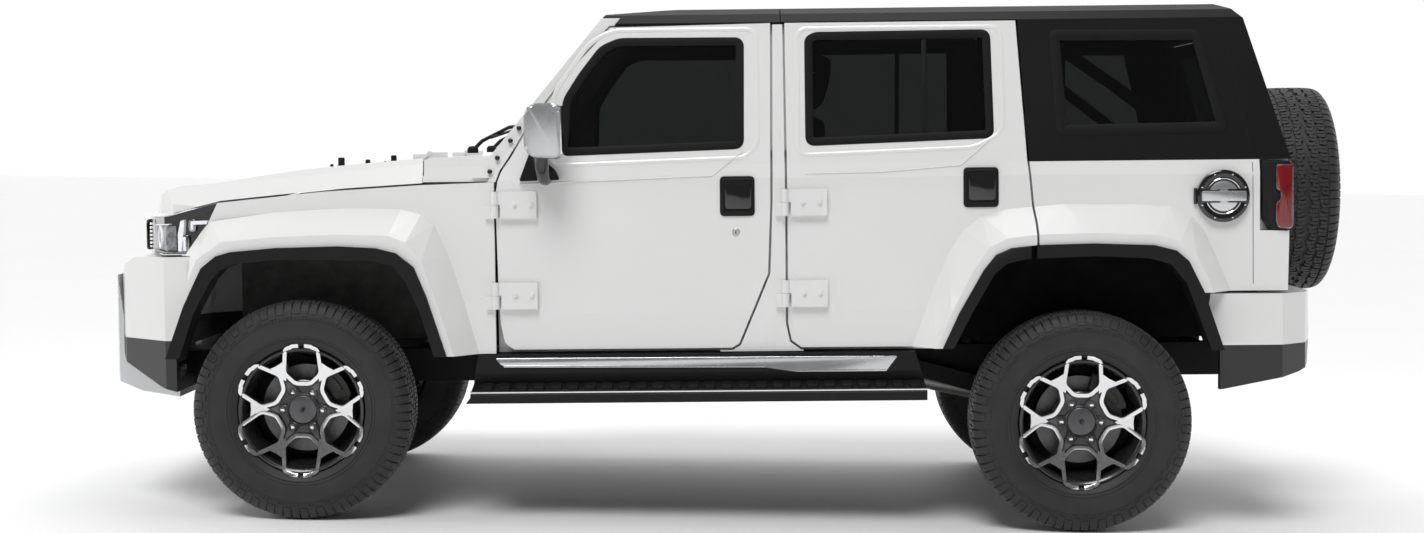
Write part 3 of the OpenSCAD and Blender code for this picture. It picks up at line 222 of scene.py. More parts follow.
IRON = surface("cast_iron", (0.07, 0.068, 0.065), 0.6, metal=0.4, tone=(20.0, 0.35),
               grain=(260.0, 0.6, 0.001))
FRAME_BLACK = surface("frame_black", (0.008, 0.008, 0.0085), 0.55, tone=(9.0, 0.3),
                      grain=(200.0, 0.35, 0.0008), specular=0.2)
LINER = surface("floor_liner", (0.008, 0.008, 0.0085), 0.85, tone=(15.0, 0.3), grain=(900.0, 0.8, 0.001),
                kind="cells", specular=0.1)
CABIN = surface("cabin_plastic", (0.02, 0.02, 0.022), 0.55, tone=(12.0, 0.15), grain=(1200.0, 0.5, 0.0006),
                kind="cells")
LEATHER = surface("seat_leather", (0.028, 0.028, 0.030), 0.45, tone=(10.0, 0.2), grain=(420.0, 0.7, 0.0007),
                  kind="cells", sheen=0.3)
BELT_WEAVE = surface("belt_webbing", (0.12, 0.12, 0.125), 0.7, tone=(40.0, 0.2), grain=(900.0, 0.6, 0.0005),
                     kind="weave", sheen=0.4)
GLASS = glazing("window_glass", (0.12, 0.125, 0.125))
DARK_GLASS = glazing("privacy_glass", (0.05, 0.053, 0.056))
RED_LENS = surface("red_lens", (0.20, 0.006, 0.008), 0.16, coat=0.8, tone=(25.0, 0.12),
                   grain=(500.0, 0.05, 0.0004))
LAMP_WHITE = glowing("lamp_white", (0.85, 0.87, 0.92), 0.12)
LAMP_GREY = surface("lamp_reflector", (0.30, 0.31, 0.33), 0.28, metal=1.0, tone=(60.0, 0.4),
                    grain=(500.0, 0.1, 0.0003))
ZINC = surface("bare_steel", (0.36, 0.36, 0.35), 0.42, metal=0.9, tone=(12.0, 0.25),
               grain=(300.0, 0.3, 0.0005))
SPLIT_BLACK = {"colour": (0.014, 0.014, 0.015), "rough": 0.48, "coat": 0.3}
FRONT_SPLIT = two_tone("bumper_front_two_tone", PAINT, SPLIT_BLACK, 629)
REAR_SPLIT = two_tone("bumper_rear_two_tone", PAINT, SPLIT_BLACK, 590)

NODE_LOOKS = {
    "front_bumper": FRONT_SPLIT, "rear_bumper": REAR_SPLIT, "floor_tub": LINER, "tailgate_window": DARK_GLASS,
    "front_skid_plate": SILVER, "fuel_cap": GLOSS_BLACK,
}
SHARED_LOOKS = (
    (PAINT, ("body_sides", "windscreen_frame", "front_wings", "grille_panel", "bonnet", "tailgate")),
    (HARDTOP, ("roof_panel", "hardtop")),
    (PLASTIC, ("arch_trims", "side_steps", "fuel_tank")),
    (FRAME_BLACK, ("frame_rails", "front_suspension", "rear_axle")),
    (IRON, ("engine_block", "left_knuckle", "right_knuckle")),
    (ZINC, ("propshafts", "exhaust")),
    (CABIN, ("dashboard", "steering_wheel")),
    (GLASS, ("fixed_glass",)),
)
for shared, names in SHARED_LOOKS:
    NODE_LOOKS.update(dict.fromkeys(names, shared))
for corner in ("front_left", "front_right", "rear_left", "rear_right"):
    NODE_LOOKS[f"{corner}_door"] = PAINT
    NODE_LOOKS[f"{corner}_window"] = GLASS


def paint_nodes():
    for node, look in NODE_LOOKS.items():
        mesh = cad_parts[node].data
        mesh.materials.clear()
        mesh.materials.append(look)


# ---------------------------------------------------------------------------------------------
# Mesh building
# ---------------------------------------------------------------------------------------------
def put(name, data):
    obj = bpy.data.objects.new(name, data)
    bpy.context.scene.collection.objects.link(obj)
    return obj


def make_mesh(name, bm, looks, matrix, angle):
    """Mesh in metres, smooth but for edges sharper than `angle` degrees."""
    bmesh.ops.recalc_face_normals(bm, faces=bm.faces)
    mesh = bpy.data.meshes.new(name)
    bm.to_mesh(mesh)
    bm.free()
    mesh.transform(matrix)
    for look in looks:
        mesh.materials.append(look)
    mesh.polygons.foreach_set("use_smooth", [True] * len(mesh.polygons))
    mesh.set_sharp_from_angle(angle=math.radians(angle))
    return mesh


def finish_piece(name, bm, looks, body="body", matrix=LEVEL):
    obj = put(name, make_mesh(name, bm, looks, matrix, 32))
    if body:
        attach(obj, body)
    return obj


def on_side(side):
    """Places a point (x, z, out) on the body's side, `out` beyond the skin."""
    return lambda u, v, w: Vector((u, side * (skin(v) + w), v))


def flat_side(side, y):
    return lambda u, v, w: Vector((u, side * (y + w), v))


def facing_front(x):
    """Places a point (y, z, out) on a plane across the vehicle, `out` towards the front."""
    return lambda u, v, w: Vector((x - w, u, v))


def facing_rear(x):
    return lambda u, v, w: Vector((x + w, u, v))


def facing_up(z):
    return lambda u, v, w: Vector((u, v, z + w))


def area(points):
    return 0.5 * sum(a[0] * b[1] - b[0] * a[1] for a, b in zip(points, points[1:] + points[:1]))


def rounded(points, radius, steps=4):
    """Outline with each corner turned into a short curve."""
    out = []
    count = len(points)
    for i, (px, py) in enumerate(points):
        before, after = Vector(points[i - 1]), Vector(points[(i + 1) % count])
        here = Vector((px, py))
        to_before, to_after = before - here, after - here
        reach = min(radius, to_before.length * 0.45, to_after.length * 0.45)
        start = here + to_before.normalized() * reach
        end = here + to_after.normalized() * reach
        for k in range(steps + 1):
            t = k / steps
            out.append(tuple(start * (1 - t) ** 2 + here * 2 * t * (1 - t) + end * t**2))
    return out


def rectangle(u0, u1, v0, v1):
    return [(u0, v0), (u1, v0), (u1, v1), (u0, v1)]


def panel(u0, u1, v0, v1, radius, steps=4):
    """Rectangle with its corners rounded."""
    return rounded(rectangle(u0, u1, v0, v1), radius, steps)


def between(a, b, pieces):
    """Points from `a` towards `b`, without `b` itself."""
    return [(a[0] + (b[0] - a[0]) * k / pieces, a[1] + (b[1] - a[1]) * k / pieces) for k in range(pieces)]


def dense(points, step=60.0):
    """Outline with points added so that no edge is longer than `step`."""
    out = []
    for a, b in zip(points, points[1:] + points[:1]):
        pieces = max(1, math.ceil(math.dist(a, b) / step))
        out += between(a, b, pieces)
    return out


def offset(points, distance):
    """Outline moved outwards by a distance, with mitred corners."""
    turn = 1 if area(points) > 0 else -1
    out = []
    count = len(points)
    for i in range(count):
        a, b, c = Vector(points[i - 1]), Vector(points[i]), Vector(points[(i + 1) % count])
        d0, d1 = (b - a), (c - b)
        if d0.length < 1e-9 or d1.length < 1e-9:
            out.append(tuple(b))
            continue
        n0 = Vector((d0.y, -d0.x)).normalized() * turn
        n1 = Vector((d1.y, -d1.x)).normalized() * turn
        n = (n0 + n1)
        n = n / max(0.3, n.length_squared / 2)
        out.append((b.x + n.x * distance, b.y + n.y * distance))
    return out


def round_off(bm, edges, radius, segments, look):
    made = bmesh.ops.bevel(bm, geom=edges, offset=radius, segments=segments, profile=0.5, affect="EDGES",
                           clamp_overlap=True)
    for face in made["faces"]:
        face.material_index = look


def bridge(bm, rings, look=0):
    """Faces between each closed ring of corners and the next."""
    for a, b in zip(rings, rings[1:]):
        for i in range(len(a)):
            j = (i + 1) % len(a)
            bm.faces.new((a[i], a[j], b[j], b[i])).material_index = look


def prism(bm, outline, place, low, high, look=0, bevel=0.0, segments=2):
    """An outline drawn out between two depths, its outer edge rounded by `bevel`."""
    verts = [[bm.verts.new(place(u, v, w)) for u, v in outline] for w in (low, high)]
    count = len(outline)
    faces = [bm.faces.new(verts[0][::-1]), bm.faces.new(verts[1])]
    for i in range(count):
        j = (i + 1) % count
        faces.append(bm.faces.new((verts[0][i], verts[0][j], verts[1][j], verts[1][i])))
    for face in faces:
        face.material_index = look
    if bevel:
        round_off(bm, list(faces[1].edges), bevel, segments, look)
    return faces


def box(bm, x, y, z, look=0, bevel=0.0):
    faces = prism(bm, rectangle(*x, *y), facing_up(0), *z, look)
    if bevel:
        round_off(bm, list({e for f in faces for e in f.edges}), bevel, 3, look)


def loft(bm, outline, place, section, look=0, skip=None):
    """Strips along an outline. The section lists (offset outwards, height) across the strip."""
    rings = []
    for distance, height in section:
        line = offset(outline, distance)
        rings.append([bm.verts.new(place(u, v, height)) for u, v in line])
    count = len(outline)
    for a, b in zip(rings, rings[1:]):
        for i in range(count):
            j = (i + 1) % count
            if skip and skip(outline[i], outline[j]):
                continue
            bm.faces.new((a[i], a[j], b[j], b[i])).material_index = look


def lathe(bm, profile, centre, axis, segments=64, look=0, closed=False):
    """A profile of (radius, along) turned about an axis."""
    axis = Vector(axis).normalized()
    side_a = axis.orthogonal().normalized()
    side_b = axis.cross(side_a)
    centre = Vector(centre)
    rings = []
    for radius, along in profile:
        if radius < 1e-9:
            rings.append([bm.verts.new(centre + axis * along)] * segments)
            continue
        turns = [2 * math.pi * k / segments for k in range(segments)]
        spokes = [side_a * math.cos(turn) + side_b * math.sin(turn) for turn in turns]
        rings.append([bm.verts.new(centre + axis * along + spoke * radius) for spoke in spokes])
    pairs = list(zip(rings, rings[1:]))
    if closed:
        pairs.append((rings[-1], rings[0]))
    for a, b in pairs:
        for k in range(segments):
            m = (k + 1) % segments
            corners = list(dict.fromkeys((a[k], a[m], b[m], b[k])))
            if len(corners) > 2:
                bm.faces.new(corners).material_index = look


def dome(bm, centre, axis, radius, height, look=0, segments=24):
    shape = [(1.0, 0.45), (0.8, 0.8), (0.45, 0.97), (0, 1.0)]
    profile = [(radius, -2)] + [(radius * r, height * h) for r, h in shape]
    lathe(bm, profile, centre, axis, segments, look)


def tube(bm, points, radius, segments=12, look=0, flat=1.0):
    """A round or flattened bar along a list of points."""
    points = [Vector(p) for p in points]
    rings = []
    for i, point in enumerate(points):
        ahead = (points[min(i + 1, len(points) - 1)] - points[max(i - 1, 0)]).normalized()
        upright = abs(ahead.z) > 0.95
        side = (ahead.orthogonal() if upright else ahead.cross(Vector((0, 0, 1)))).normalized()
        up = side.cross(ahead)
        rings.append([
            bm.verts.new(point + side * math.cos(2 * math.pi * k / segments) * radius
                         + up * math.sin(2 * math.pi * k / segments) * radius * flat)
            for k in range(segments)
        ])
    bridge(bm, rings, look)
    for ring in (rings[0][::-1], rings[-1]):
        bm.faces.new(ring).material_index = look


# ---------------------------------------------------------------------------------------------
# Tyres. A tyre is made once in metres round the Y axis and copied to each wheel.
# ---------------------------------------------------------------------------------------------
CARCASS = [
    (0, 377.5), (40, 377.2), (75, 376.0), (98, 372.5), (110, 366), (119, 357), (125.5, 345),
    (129.5, 330), (131.3, 312), (131.3, 296), (129.4, 279), (126, 264), (121.5, 252), (116.5, 243.5),
    (112.5, 237), (104, 226), (96, 240), (96, 300), (90, 345), (60, 362), (0, 366),
]
HUB = (0, 0, 0)
TREAD_R = 377.5
TREAD_PITCHES = 38


def carcass_line():
    """The carcass as a smooth line, with the distance along it."""
    line = [Vector(p) for p in CARCASS[:15]]
    for _ in range(2):
        cut = [line[0]]
        for a, b in zip(line, line[1:]):
            cut += [a * 0.75 + b * 0.25, a * 0.25 + b * 0.75]
        line = cut + [line[-1]]
    run = [0.0]
    for a, b in zip(line, line[1:]):
        run.append(run[-1] + (b - a).length)
    return line, run


CARCASS_LINE, CARCASS_RUN = carcass_line()


def on_carcass(along, turn, height):
    """A point on the tyre: distance along the carcass from its middle, turn, and height above it."""
    side = -1 if along < 0 else 1
    reach = abs(along)
    for i in range(len(CARCASS_RUN) - 1):
        if reach <= CARCASS_RUN[i + 1] or i == len(CARCASS_RUN) - 2:
            a, b = CARCASS_LINE[i], CARCASS_LINE[i + 1]
            t = (reach - CARCASS_RUN[i]) / (CARCASS_RUN[i + 1] - CARCASS_RUN[i])
            break
    here = a.lerp(b, t)
    ahead = (b - a).normalized()
    out = Vector((-ahead.y, ahead.x))
    across, radius = here.x + out.x * height, here.y + out.y * height
    return Vector((radius * math.cos(turn), side * across, radius * math.sin(turn)))


def tread_height(along):
    stops = [(0, 10.2), (90, 10.4), (100, 10.0), (112, 7.5), (125, 5.0), (138, 3.6), (152, 2.4), (170, 1.0)]
    return between_stops(stops, abs(along))


def block(bm, side, corners):
    """A tread block between corner points (distance round, distance along), with chamfered edges."""
    chamfer = 1.3
    corners = [(s, side * u) for s, u in corners]
    middle_s = sum(c[0] for c in corners) / len(corners)
    middle_u = sum(c[1] for c in corners) / len(corners)

    def at(s, u, h):
        return on_carcass(u, s / TREAD_R, h)

    def pulled(s, u, by):
        reach = max(1e-6, math.hypot(s - middle_s, u - middle_u))
        return s - (s - middle_s) / reach * by, u - (u - middle_u) / reach * by

    low = [bm.verts.new(at(s, u, -0.8)) for s, u in corners]
    shoulder = [bm.verts.new(at(s, u, tread_height(u) - chamfer)) for s, u in corners]
    top = []
    for s, u in corners:
        s, u = pulled(s, u, chamfer)
        top.append(bm.verts.new(at(s, u, tread_height(u))))
    bridge(bm, [low, shoulder, top])
    bm.faces.new(top)


def shoulder_lug(bm, s0, s1, u0, u1, side, rows=9):
    """A lug that wraps from the tread down the sidewall."""
    columns = [(s0, -0.8), (s0, None), (s0 + 1.5, 0), (s1 - 1.5, 0), (s1, None), (s1, -0.8)]
    grid = []
    for k in range(rows + 1):
        u = u0 + (u1 - u0) * k / rows
        high = tread_height(u)
        notch = 1.8 if k % 3 == 2 and 2 < k < rows else 0.0
        row = []
        for s, kind in columns:
            height = kind if kind == -0.8 else (high - notch - (1.2 if kind is None else 0))
            row.append(bm.verts.new(on_carcass(side * u, s / TREAD_R, height)))
        grid.append(row)
    for a, b in zip(grid, grid[1:]):
        for i in range(len(columns) - 1):
            bm.faces.new((a[i], a[i + 1], b[i + 1], b[i]))
    for row in (grid[0], grid[-1]):
        bm.faces.new(row)


def tyre_mesh():
    bm = bmesh.new()
    profile = [(p.y, p.x) for p in CARCASS_LINE] + [(r, y) for y, r in CARCASS[15:]]
    whole = profile + [(r, -y) for r, y in profile[::-1][1:-1]]
    lathe(bm, whole, HUB, (0, 1, 0), 128, closed=True)
    pitch = 2 * math.pi * TREAD_R / TREAD_PITCHES
    for number in range(TREAD_PITCHES):
        start = number * pitch
        for side in (-1, 1):
            shift = start + (pitch * 0.5 if side > 0 else 0)
            for s0, s1, jog in ((0.03, 0.27, 0), (0.30, 0.50, 3), (0.54, 0.76, 12), (0.79, 0.98, 9)):
                a, b = shift + s0 * pitch, shift + s1 * pitch
                block(bm, side, [(a, 4 + jog), (b, 5 + jog), (b + 5, 22 + jog), (b + 2, 35 + jog * 0.4),
                                 (a + 2, 36 + jog * 0.4), (a + 5, 21 + jog)])
            quarter = shift + 0.25 * pitch
            for s0, s1, jog in ((0.04, 0.46, 0), (0.54, 0.96, 6)):
                a, b = quarter + s0 * pitch, quarter + s1 * pitch
                mid, half, fade = (a + b) / 2, jog * 0.5, jog * 0.3
                inner = [(a, 45 + jog), (mid - 1, 44 + jog), (mid + 2, 60 + half), (mid - 1, 73 + fade)]
                block(bm, side, inner + [(a + 3, 74 + fade), (a + 4, 60 + jog)])
                outer = [(mid + 1, 44 + jog), (b, 45 + jog), (b + 4, 60 + jog), (b + 3, 74 + fade)]
                block(bm, side, outer + [(mid + 1, 73 + fade), (mid + 4, 60 + half)])
            for s0, s1, depth in ((0.04, 0.46, 148), (0.54, 0.96, 138)):
                shoulder_lug(bm, shift + s0 * pitch, shift + s1 * pitch, 82, depth, side)
            for k in range(4):
                a = shift + pitch * (k / 4 + 0.06)
                shoulder_lug(bm, a, a + pitch * 0.13, 154, 159, side, 2)
    for side in (-1, 1):
        for radius, across, width in ((322, 130.4, 2.0), (262, 126.2, 3.0), (251, 122.6, 2.0)):
            bead = [(radius - width, across - 1.5), (radius - width / 2, across + 1.0)]
            bead += [(radius + width / 2, across + 1.0), (radius + width, across - 1.5)]
            lathe(bm, bead, HUB, (0, side, 0), 128)
    return make_mesh("tyre_tread", bm, [RUBBER], Matrix.Scale(MM, 4), 30)


# ---------------------------------------------------------------------------------------------
# Rims. The face looks along -Y. Six windows, each framed by a machined band.
# ---------------------------------------------------------------------------------------------
HUB_BOLT_R = 69.85


def face_depth(radius):
    return 72 + 42.5 * min(1.0, radius / 231) ** 2.2


OUTWARD = (0, -1, 0)


def on_face(turn):
    """Places a point on the rim's outer face, turned about the axle."""
    def place(u, v, w):
        x = u * math.cos(turn) - v * math.sin(turn)
        z = u * math.sin(turn) + v * math.cos(turn)
        return Vector((x, -(face_depth(math.hypot(u, v)) + w), z))

    return place


def rim_mesh():
    """One rim, shared by all wheels, with its outer face towards -Y."""
    bm = bmesh.new()
    machined, dark, grey, bright, disc = range(5)
    flange = RIM_R / MM + 3
    barrel = [
        (-10, 107), (-5, 109.5), (-0.5, 108.5), (-1, 102), (-10, 98), (-11, 60), (-32, 20),
        (-32, -60), (-16, -90), (-2, -110), (-4, -113), (-22, -100), (-38, -62), (-38, 16),
        (-22, 60), (-17, 92), (-14, 102),
    ]
    lathe(bm, [(flange + r, y) for r, y in barrel], HUB, OUTWARD, 96, dark, closed=True)
    window = [(50, 214), (57.5, 132), (24, 99.5), (-24, 99.5), (-57.5, 132), (-50, 214)]
    outline = rounded(window, 11, 4) + [(-30, 219.5), (-10, 221.5), (10, 221.5), (30, 219.5)]
    for k in range(6):
        turn = math.radians(60 * k)
        place = on_face(turn)
        place_between = on_face(turn + math.radians(30))

        def in_gap(a, b):
            return abs(a[0]) < 10.5 and abs(b[0]) < 10.5 and a[1] > 200

        loft(bm, outline, place, [(0, -34), (0, -1.0), (1.0, 0)], dark)
        loft(bm, outline, place, [(1.0, 0), (7.0, 0.7), (14.2, 0)], machined, skip=in_gap)
        loft(bm, outline, place, [(14.2, 0), (15.0, -1.2), (15.2, -30)], dark)
        # joint between neighbouring bands
        joint = [(0, 116), (8, 129), (14, 142), (25, 181), (0, 179), (-25, 181), (-14, 142), (-8, 129)]
        prism(bm, joint, place_between, -30, -0.1, machined)
        # star pocket and wheel bolt
        pocket = [(23, 48), (17, 84), (5, 120), (-5, 120), (-17, 84), (-23, 48)]
        prism(bm, rounded(pocket, 6, 3), place_between, -24, -4.0, dark, 0.8)
        star = [(18, 50), (12.5, 84), (2.5, 112), (-2.5, 112), (-12.5, 84), (-18, 50)]
        prism(bm, rounded(star, 5, 3), place_between, -20, -2.6, grey, 0.8)
        bolt = place_between(0, HUB_BOLT_R, -2)
        lathe(bm, [(17, -14), (17, 1.5), (15.5, 3), (13.5, 2), (12.5, -10)], bolt, OUTWARD, 24, dark)
        lathe(bm, [(10.5, -10), (10.5, 6), (9.0, 9.5), (5.5, 12), (0, 13)], bolt, OUTWARD, 6, bright)
    # hub, centre cap and the disc behind
    lathe(bm, [(0, 30), (104, 30), (104, 58), (98, 62), (0, 62)], HUB, OUTWARD, 72, dark)
    cap = face_depth(20)
    ring = [(58, -14), (58, 1), (55, 3.5), (51.5, 2.5), (50, -1)]
    lathe(bm, [(r, cap + h) for r, h in ring], HUB, OUTWARD, 64, dark)
    lid = [(50, -4), (49, 3), (46.5, 5), (30, 6.4), (0, 7)]
    lathe(bm, [(r, cap + h) for r, h in lid], HUB, OUTWARD, 64, grey)
    lathe(bm, [(78, -24), (155, -24), (155, 0), (80, 0), (78, 28), (0, 28)], HUB, OUTWARD, 72, disc)
    lathe(bm, [(8, 92), (5.5, 96), (5.5, 112), (3.8, 114), (0, 114)], HUB, OUTWARD, 12, dark)
    looks = [MACHINED, RIM_DARK, RIM_GREY, CHROME, STEEL]
    return make_mesh("rim_six_window", bm, looks, Matrix.Scale(MM, 4), 25)


def put_wheels():
    tyre, rim = tyre_mesh(), rim_mesh()
    spots = []
    for end in ("front", "rear"):
        for name, side in SIDES.items():
            turn = Matrix.Rotation(math.pi if side > 0 else 0, 4, "Z")
            spots.append((f"{end}_{name}", f"{end}_{name}_wheel", middle(f"{end}_{name}_tyre"), turn))
    outward = Matrix.Rotation(-RAKE, 4, "Y") @ Matrix.Rotation(math.pi / 2, 4, "Z")
    spots.append(("spare", "tailgate", SPARE, outward))
    for label, body, centre, turn in spots:
        for kind, mesh in (("tyre", tyre), ("rim", rim)):
            copy = mesh.copy()
            copy.transform(Matrix.Translation(centre) @ turn)
            obj = put(f"{label}_{kind}_detail", copy)
            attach(obj, body)
            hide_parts(f"{label}_{kind}")


def sector(outer, inner, arc):
    """Outline between two radii over a list of angles."""
    ring = [(outer, a) for a in arc] + [(inner, a) for a in reversed(arc)]
    return [(r * math.cos(a), r * math.sin(a)) for r, a in ring]


def calipers():
    """Caliper and brake shield of each road wheel."""
    arc = [math.radians(a) for a in range(15, 76, 6)]
    shield = [(60, -64), (198, -64), (200, -60), (198, -56), (60, -56)]
    for end, centre in (("front", FRONT), ("rear", REAR)):
        for name, side in SIDES.items():
            bm = bmesh.new()
            for outline, low, high, bevel in ((sector(172, 112, arc), 3, 34, 5),
                                              (sector(150, 128, arc[2:-2]), 34, 42, 3)):
                prism(bm, [(-side * u, v) for u, v in outline], flat_side(side, 0), low, high, 0, bevel)
            lathe(bm, shield, HUB, (0, side, 0), 72, 1)
            where = Matrix.Translation((centre.x, side * abs(FRONT.y), centre.z)) @ Matrix.Scale(MM, 4)
            body = f"{name}_knuckle" if end == "front" else "body"
            finish_piece(f"{end}_{name}_caliper", bm, [IRON, FRAME_BLACK], body, where)


# ---------------------------------------------------------------------------------------------
# Side details
# ---------------------------------------------------------------------------------------------
FRONT_WINDOW = [
    (930, 1286), (1554, 1305), (1557, 1674), (1130, 1676), (1068, 1650), (997, 1558), (941, 1469),
]
REAR_WINDOW = [(1796, 1313), (2433, 1334), (2427, 1693), (1822, 1690), (1796, 1676)]
FRONT_BEVEL = [
    (880, 1240), (1570, 1262), (1616, 1310), (1612, 1716), (1100, 1716), (1022, 1672), (900, 1500),
]
REAR_BEVEL = [(1757, 1268), (2380, 1290), (2478, 1345), (2476, 1716), (1757, 1716)]
QUARTER_WINDOW = [(2674, 1335), (3260, 1342), (3174, 1689), (2653, 1694)]


def gasket(name, outline, side, body, band=(-16, 13)):
    """Black surround of a window, from inside the glass edge to just over the panel."""
    bm = bmesh.new()
    line = dense(rounded(outline, 22, 5), 70)
    inner, outer = band
    section = [(inner, -11), (inner, 0.5), (inner + 4, 2.2), (outer - 4, 2.6), (outer, 1.2), (outer, -1)]
    loft(bm, line, on_side(side), section)
    return finish_piece(name, bm, [SEAL], body)


def window_rim(name, outline, side, body):
    """Raised bevel that frames a door's window."""
    bm = bmesh.new()
    line = dense(rounded(outline, 40, 6), 80)
    loft(bm, line, on_side(side), [(-9, -1.0), (-7, 1.2), (0, 2.6), (7, 1.2), (9, -1.0)])
    return finish_piece(name, bm, [PAINT], body)


def handle(name, corner, side, body):
    """Square black handle: a plate, a deep cup and a pull across it."""
    x0, x1, z0, z1 = corner
    bm = bmesh.new()
    plate = panel(x0, x1, z0, z1, 16, 5)
    place = flat_side(side, DOOR_Y)
    prism(bm, plate, place, -1, 5, 0, 2.5)
    inner = offset(plate, -9)
    loft(bm, inner, place, [(0, 5.2), (-2, 7.0), (-5, 7.0), (-7, 5.3)])
    low = z0 + (z1 - z0) * 0.18
    high = z0 + (z1 - z0) * 0.80
    prism(bm, panel(x0 + 18, x1 - 12, low, high, 9, 4), place, 4, 14, 1, 4)
    prism(bm, panel(x0 + 18, x1 - 12, low - 14, low - 5, 4, 3), place, 4, 10, 0, 2)
    obj = finish_piece(name, bm, [PLASTIC, GLOSS_BLACK], body)


def hinge_bolts(name, spots, side, body):
    bm = bmesh.new()
    for x, z in spots:
        out = (0, side, 0)
        y = side * (DOOR_Y + 20)
        lathe(bm, [(11, -2), (11, 1.2), (9.5, 2.2), (0, 2.2)], (x, y, z), out, 24, 0)
        lathe(bm, [(7, 1), (7, 6), (5.5, 7.5), (0, 7.8)], (x, y, z), out, 6, 0)
    finish_piece(name, bm, [PAINT], body)


def door_trims():
    for name, side in SIDES.items():
        front, rear = f"front_{name}_door", f"rear_{name}_door"
        gasket(f"{front}_window_seal", FRONT_WINDOW, side, front)
        gasket(f"{rear}_window_seal", REAR_WINDOW, side, rear)
        gasket(f"{name}_quarter_window_seal", QUARTER_WINDOW, side, "body", (-30, 8))
        window_rim(f"{front}_window_rim", FRONT_BEVEL, side, front)
        window_rim(f"{rear}_window_rim", REAR_BEVEL, side, rear)
        handle(f"{front}_handle", (1481, 1603, 1057, 1197), side, front)
        handle(f"{rear}_handle", (2335, 2458, 1080, 1220), side, rear)
        hinge_bolts(f"{front}_hinge_bolts", [(x, z) for x in (759, 817) for z in (1104, 784)], side, front)
        hinge_bolts(f"{rear}_hinge_bolts", [(x, z) for x in (1773, 1831) for z in (1104, 784)], side, rear)
        bm = bmesh.new()
        place = (1536, side * DOOR_Y, 1000)
        lathe(bm, [(14, -1), (14, 2), (12, 3.4), (9, 3.4), (8.5, 2.4), (0, 2.4)], place, (0, side, 0), 32,
              0)
        prism(bm, rectangle(1534.6, 1537.4, 994, 1006), flat_side(side, DOOR_Y), 1, 3.2, 1)
        finish_piece(f"{front}_lock", bm, [SILVER, SEAL], front)
        # divider of the rear door's window
        bm = bmesh.new()
        prism(bm, rectangle(2196, 2214, 1322, 1698), on_side(side), -12, -4, 0, 2)
        finish_piece(f"{rear}_window_divider", bm, [SEAL], rear)


def rear_door_arch_trims():
    """The part of the rear arch trim that moves with each rear door."""
    outer = [(-493, 592), (-435, 716), (-350, 864), (-307, 917), (-254, 940), (-184, 947)]
    inner = [(-454, 592), (-392, 715), (-317, 853), (-274, 890), (-184, 902)]
    outline = [(x + WHEELBASE, z) for x, z in outer] + [(x + WHEELBASE, z) for x, z in reversed(inner)]
    for name, side in SIDES.items():
        bm = bmesh.new()
        prism(bm, outline, flat_side(side, 0), DOOR_Y + 4, 962, 0, 5)
        finish_piece(f"rear_{name}_door_arch_trim", bm, [PLASTIC], f"rear_{name}_door")


def sill_trims():
    for name, side in SIDES.items():
        bm = bmesh.new()
        strip = [(684, 564), (2101, 561), (2062, 512), (1751, 512), (1622, 531), (706, 538)]
        place = lambda u, v, w: Vector((u, side * (862 + (575 - v) * 0.176 + w), v))
        prism(bm, rounded(strip, 6, 3), place, -1.5, 2.4, 0, 1.2)
        bead = [(712, 539), (1640, 532), (1752, 516), (2066, 516), (2060, 509), (1748, 509), (1632, 525),
                (714, 532)]
        prism(bm, rounded(bead, 3, 2), place, -1.5, 5.2, 0, 2.2)
        finish_piece(f"{name}_sill_strip", bm, [SILVER])
        bm = bmesh.new()
        line = panel(600, 2208, 446, 453, 3, 2)
        prism(bm, line, flat_side(side, 923), -4, 2.5, 0, 1.5)
        finish_piece(f"{name}_step_line", bm, [CHROME])
        bm = bmesh.new()
        on_step = lambda u, v, w: Vector((u, v, 462 + (918 - abs(v)) * 0.30 + w))
        for k in range(26):
            x = 640 + k * 60
            prism(bm, panel(x, x + 40, side * 872, side * 918, 8, 3), on_step, -14, 3.5, 0, 1.5)
        finish_piece(f"{name}_step_treads", bm, [SEAL])


def fuel_cap_detail():
    x, z, r = WHEELBASE + 495, 1112, 92
    y = -(DOOR_Y + 17)
    bm = bmesh.new()
    centre = (x, y, z)
    lathe(bm, [(r, -1), (r - 1, 4), (r - 5, 7), (r - 14, 8), (66, 5), (64, 1)], centre, (0, -1, 0), 72, 0)
    lathe(bm, [(64, 0), (63.5, 6), (61.5, 7.4), (59.5, 6), (59, 2)], centre, (0, -1, 0), 72, 2)
    lathe(bm, [(59, 1), (57, 4), (44, 8.5), (24, 11), (0, 12)], centre, (0, -1, 0), 72, 1)
    prism(bm, panel(x - 84, x + 84, z - 24, z + 24, 7, 3), flat_side(-1, -y), 2, 11, 0, 2)
    prism(bm, panel(x - 78, x + 78, z - 18, z + 18, 5, 3), flat_side(-1, -y), 9, 14.5, 1, 3)
    for k in range(8):
        turn = math.radians(22.5 + 45 * k)
        dome(bm, (x + 81 * math.cos(turn), y - 5, z + 81 * math.sin(turn)), (0, -1, 0), 4, 3.5, 2, 16)
    finish_piece("fuel_cap_detail", bm, [GLOSS_BLACK, SILVER, CHROME], "fuel_cap")


